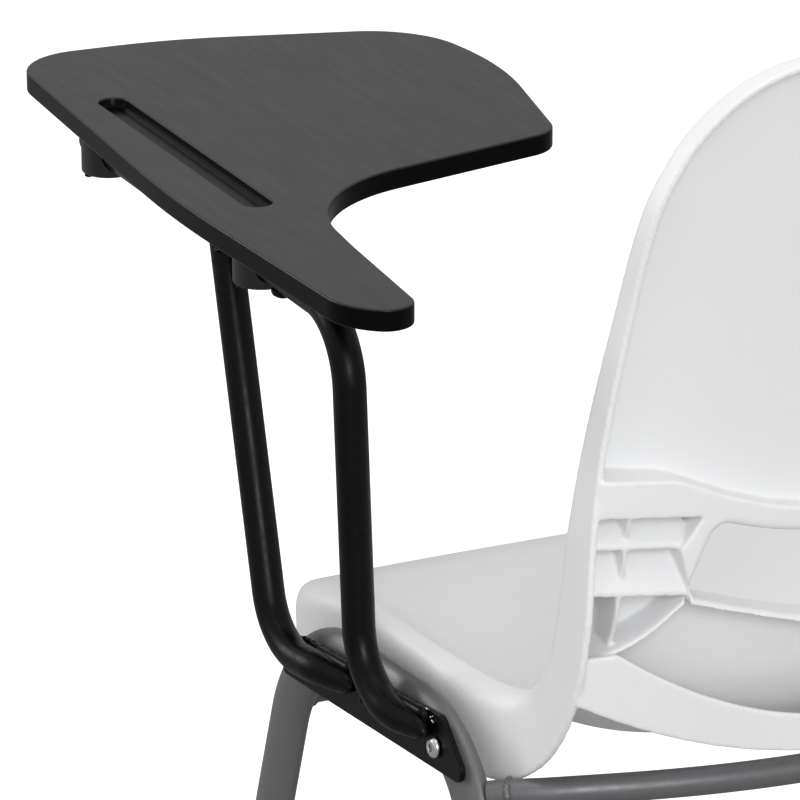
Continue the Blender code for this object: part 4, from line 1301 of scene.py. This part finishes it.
def wall_band(xs, low, high):
    """A rib from inside the skin to the rear plane."""
    def section(x):
        rear = rear_y(x)
        return [(skin_y(x, low(x)), low(x)), (skin_y(x, high(x)), high(x)), (rear, high(x)), (rear, low(x))]
    return section_band(xs, section)


def shelf_wedge(sign, base, slope, reach, cell):
    """A pocket floor: a thin rear edge, and a top that climbs to the cell's full height inside."""
    def section(x):
        z = base + slope * abs(x)
        rear = rear_y(x) - SHELF_IN
        inside = rear_y(x) - POCKET_DEPTH
        front = min(skin_y(x, z), inside - 0.001)
        high = z + RIB_T + cell
        return [(rear, z), (rear, z + RIB_T), (inside, high), (front, high), (front, z)]
    return section_band(spread(sign * (POCKET_FOOT[0] - 0.001), sign * reach, 10), section)


def between(x, first, second):
    """Height at x on the straight line through two (x, z) points."""
    share = (abs(x) - first[0]) / (second[0] - first[0])
    return first[1] + (second[1] - first[1]) * share


def pocket_side_top(x):
    """Upper limit of the wall between the slot and the pocket."""
    if abs(x) < POCKET_CORNER_X:
        return belt_low(x) - 0.0005
    corner = (POCKET_CORNER_X, belt_low(POCKET_CORNER_X))
    return max(between(x, corner, POCKET_BEND), pocket_side_foot(x) + 0.0004)


def pocket_side_foot(x):
    """Lower limit of the wall between the slot and the pocket."""
    if abs(x) < POCKET_FOOT[0]:
        return lip_bottom(x) + 0.001
    return min(between(x, POCKET_FOOT, POCKET_BEND), POCKET_BEND[1] - 0.0005)


def fin(x, top, bottom, inset_top, inset_bottom, thick):
    """An upright gusset that hangs from a ledge and runs out to a point below it."""
    rear = []
    for t in spread(0.0, 1.0, FIN_STEPS):
        inset = inset_top + (inset_bottom - inset_top) * t ** FIN_POWER
        rear.append((rear_y(x) - inset, top + (bottom - top) * t))
    front = min(skin_y(x, top), skin_y(x, bottom)) - 0.001
    loop = rear + [(min(front, rear[-1][0] - 0.002), bottom), (front, top)]
    return section_band([x - thick / 2.0, x + thick / 2.0], lambda _: loop)


def gusset(sign):
    """The slanting rib from the slot's lower corner down to the apron."""
    start, length, sag = GUSSET_SAG
    height, slope = GUSSET_LINE

    def section(x):
        share = min(max((abs(x) - start) / length, 0.0), 1.0)
        z = height + slope * abs(x) - sag * math.sin(math.pi * share)
        rear = rear_y(x) - GUSSET_IN - GUSSET_TAPER * (abs(x) - start)
        front = skin_y(x, z)
        return [(front, z), (front, z + RIB_T * 1.5), (rear - 0.002, z + RIB_T),
                (rear, z + RIB_T * 0.7), (rear, z)]
    return section_band(spread(sign * GUSSET_X[0], sign * GUSSET_X[1], 18), section)


def slot_outline(grow):
    """The opening in (x, z), grown outward by a distance."""
    upper = []
    lower = []
    for turn in spread(-1.0, 1.0, 64):
        share = math.sin(turn * math.pi / 2.0)
        x = SLOT_X * share
        end = max(abs(x) - (SLOT_X - SLOT_CORNER), 0.0) / SLOT_CORNER
        pinch = SLOT_CORNER * (1.0 - math.sqrt(max(1.0 - end * end, 0.0)))
        for line, z in ((upper, slot_top(x) - pinch), (lower, slot_bottom(x) + pinch)):
            line.append(Vector((x - SLOT_SLANT * share * (z - SLOT_MIDDLE_Z), z)))
    return offset_outline(upper + lower[::-1][1:-1], -grow)


def slot_cutter():
    """A straight hole that opens in a quarter round at the rear plane."""
    layers = [(-0.20, 0.0)]
    for t in spread(0.0, math.pi / 2.0, 6):
        layers.append((-SLOT_ROUND * (1.0 - math.sin(t)), SLOT_ROUND * (1.0 - math.cos(t))))
    layers.append((0.02, SLOT_ROUND + 0.002))
    bm = bmesh.new()
    rings = []
    for depth, grow in layers:
        rings.append([bm.verts.new((p.x, rear_y(p.x) + depth, p.y)) for p in slot_outline(grow)])
    close_rings(bm, rings)
    bmesh.ops.triangulate(bm, faces=bm.faces[:])
    return bm


def slotted_parts():
    """Closed bodies that the slot runs through."""
    parts = [shell_skin()]
    parts.append(wall_band(spread(-LIP_X, LIP_X, 140), belt_floor, belt_top))
    parts.append(wall_band(spread(-POCKET_FOOT[0], POCKET_FOOT[0], 130), lip_bottom, slot_side))
    for sign in (-1.0, 1.0):
        wall = spread(sign * (SLOT_X - 0.018), sign * POCKET_BEND[0], 40)
        parts.append(wall_band(wall, pocket_side_foot, pocket_side_top))
    return parts


def pocket_parts(sign):
    """The shelves of one side's pockets, and the upright fins under each ledge."""
    parts = []
    ledges = [belt_low(FIN_PLACES[0])]
    for base, slope, reach in SHELVES:
        floor = base + slope * FIN_PLACES[0]
        parts.append(shelf_wedge(sign, base, slope, reach, ledges[-1] - floor - RIB_T + 0.0010))
        ledges.append(floor)
    ends = (ledges[1] + 0.003, ledges[2] + 0.004, ledges[2] - 0.064)
    for x, top, bottom, shape in zip(FIN_PLACES, ledges, ends, FIN_SHAPES):
        parts.append(fin(sign * x, top + 0.001, bottom, *shape))
    return parts


def boss(sign, y):
    """A round foot under the seat that stands on a seat support."""
    base = SUPPORT_TOP_Z + GAP
    height = seat_z(sign * BOSS_X, y) - SHELL_T * 0.6 - base
    return turned([(BOSS_R, 0.0), (BOSS_R + 0.001, height)], Matrix.Translation((sign * BOSS_X, y, base)))


def apron_section(x):
    rear = rear_y(x)
    return [(rear, apron_bottom(x)), (rear, apron_top(x)),
            (rear - APRON_T, apron_top(x)), (rear - APRON_T, apron_bottom(x))]


def shell_parts():
    """The shell's other closed bodies: belt ends, pockets, gussets, bosses and apron."""
    parts = []
    for sign in (-1.0, 1.0):
        parts.append(wall_band(spread(sign * (LIP_X - 0.001), sign * BELT_X, 12), belt_low, belt_top))
        parts += pocket_parts(sign)
        parts.append(gusset(sign))
        parts += [boss(sign, y) for y in SUPPORT_Y]
    return parts + [section_band(spread(-APRON_X, APRON_X, 60), apron_section)]


def make_shell():
    """All bodies of the shell melted into one skin, so that every rib meets it in a small fillet."""
    whole = bmesh.new()
    bodies = [cut_mesh(loose_object("shell_part", part), loose_object("slot_cut", slot_cutter()))
              for part in slotted_parts()]
    for bm in bodies + shell_parts():
        mesh = bpy.data.meshes.new("shell_part")
        bm.to_mesh(mesh)
        bm.free()
        whole.from_mesh(mesh)
        bpy.data.meshes.remove(mesh)
    rough = loose_object("shell_rough", whole)
    remesh = rough.modifiers.new("melt", "REMESH")
    remesh.mode = "VOXEL"
    remesh.voxel_size = VOXEL
    smooth = rough.modifiers.new("fillets", "SMOOTH")
    smooth.factor = 0.5
    smooth.iterations = SMOOTH_TURNS
    bm = evaluated(rough)
    bpy.data.objects.remove(rough, do_unlink=True)
    add_piece("seat_shell_moulded", bm, "white_shell", ["seat_shell"], sharp=60.0)


# ---- pieces kept from the frame
def dress_cad_nodes():
    for name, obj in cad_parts.items():
        for start, slot in CAD_SLOTS:
            if name.startswith(start):
                obj.data.materials.clear()
                obj.data.materials.append(LOOKS[slot])


# ---- studio
def make_stage():
    """A pale floor; its brightness for the lens is set apart from the light that it throws back."""
    bpy.ops.mesh.primitive_plane_add(size=FLOOR_SIZE, location=(0.0, 0.0, 0.0))
    floor = bpy.context.object
    floor.name = "studio_floor"
    n = Nodes("studio_floor", 0.9)
    n.shader.inputs["Specular IOR Level"].default_value = 0.0
    seen = n.tree.nodes.new("ShaderNodeLightPath").outputs["Is Camera Ray"]
    n.color(n.blend(seen, FLOOR_THROWN, FLOOR_SEEN))
    n.shader.inputs["Emission Color"].default_value = WHITE_LIGHT
    n.link(n.remap(seen, 0.0, 1.0, 0.0, FLOOR_GLOW), n.shader.inputs["Emission Strength"])
    floor.data.materials.append(n.material)


def make_camera():
    across = math.cos(CAMERA_ELEVATION)
    back = Vector((math.sin(CAMERA_AZIMUTH) * across, -math.cos(CAMERA_AZIMUTH) * across,
                   math.sin(CAMERA_ELEVATION)))
    data = bpy.data.cameras.new("camera")
    data.lens = CAMERA_LENS
    data.sensor_width = CAMERA_SENSOR
    data.clip_end = CAMERA_CLIP
    camera = bpy.data.objects.new("camera", data)
    camera.location = CAMERA_TARGET + SHIFT + back * CAMERA_DISTANCE
    camera.rotation_euler = (-back).to_track_quat("-Z", "Y").to_euler()
    bpy.context.scene.collection.objects.link(camera)
    bpy.context.scene.camera = camera


def make_light():
    world = bpy.data.worlds.new("studio")
    world.use_nodes = True
    backdrop = world.node_tree.nodes["Background"]
    backdrop.inputs["Color"].default_value = WHITE_LIGHT
    backdrop.inputs["Strength"].default_value = WORLD_STRENGTH
    bpy.context.scene.world = world
    bpy.context.scene.view_settings.view_transform = "Standard"
    for name, place, size, power in LIGHTS:
        light = bpy.data.lights.new(name, "AREA")
        light.shape = "DISK"
        light.size = size
        light.energy = power
        obj = bpy.data.objects.new(name, light)
        obj.location = place
        obj.rotation_euler = (LIGHT_TARGET - Vector(place)).to_track_quat("-Z", "Y").to_euler()
        bpy.context.scene.collection.objects.link(obj)


make_side_frames()
make_glides()
make_cross_tubes()
make_frame_welds()
make_plate()
make_bolts()
make_posts()
make_rest()
make_tablet()
make_blocks()
make_shell()
dress_cad_nodes()
make_stage()
make_camera()
make_light()
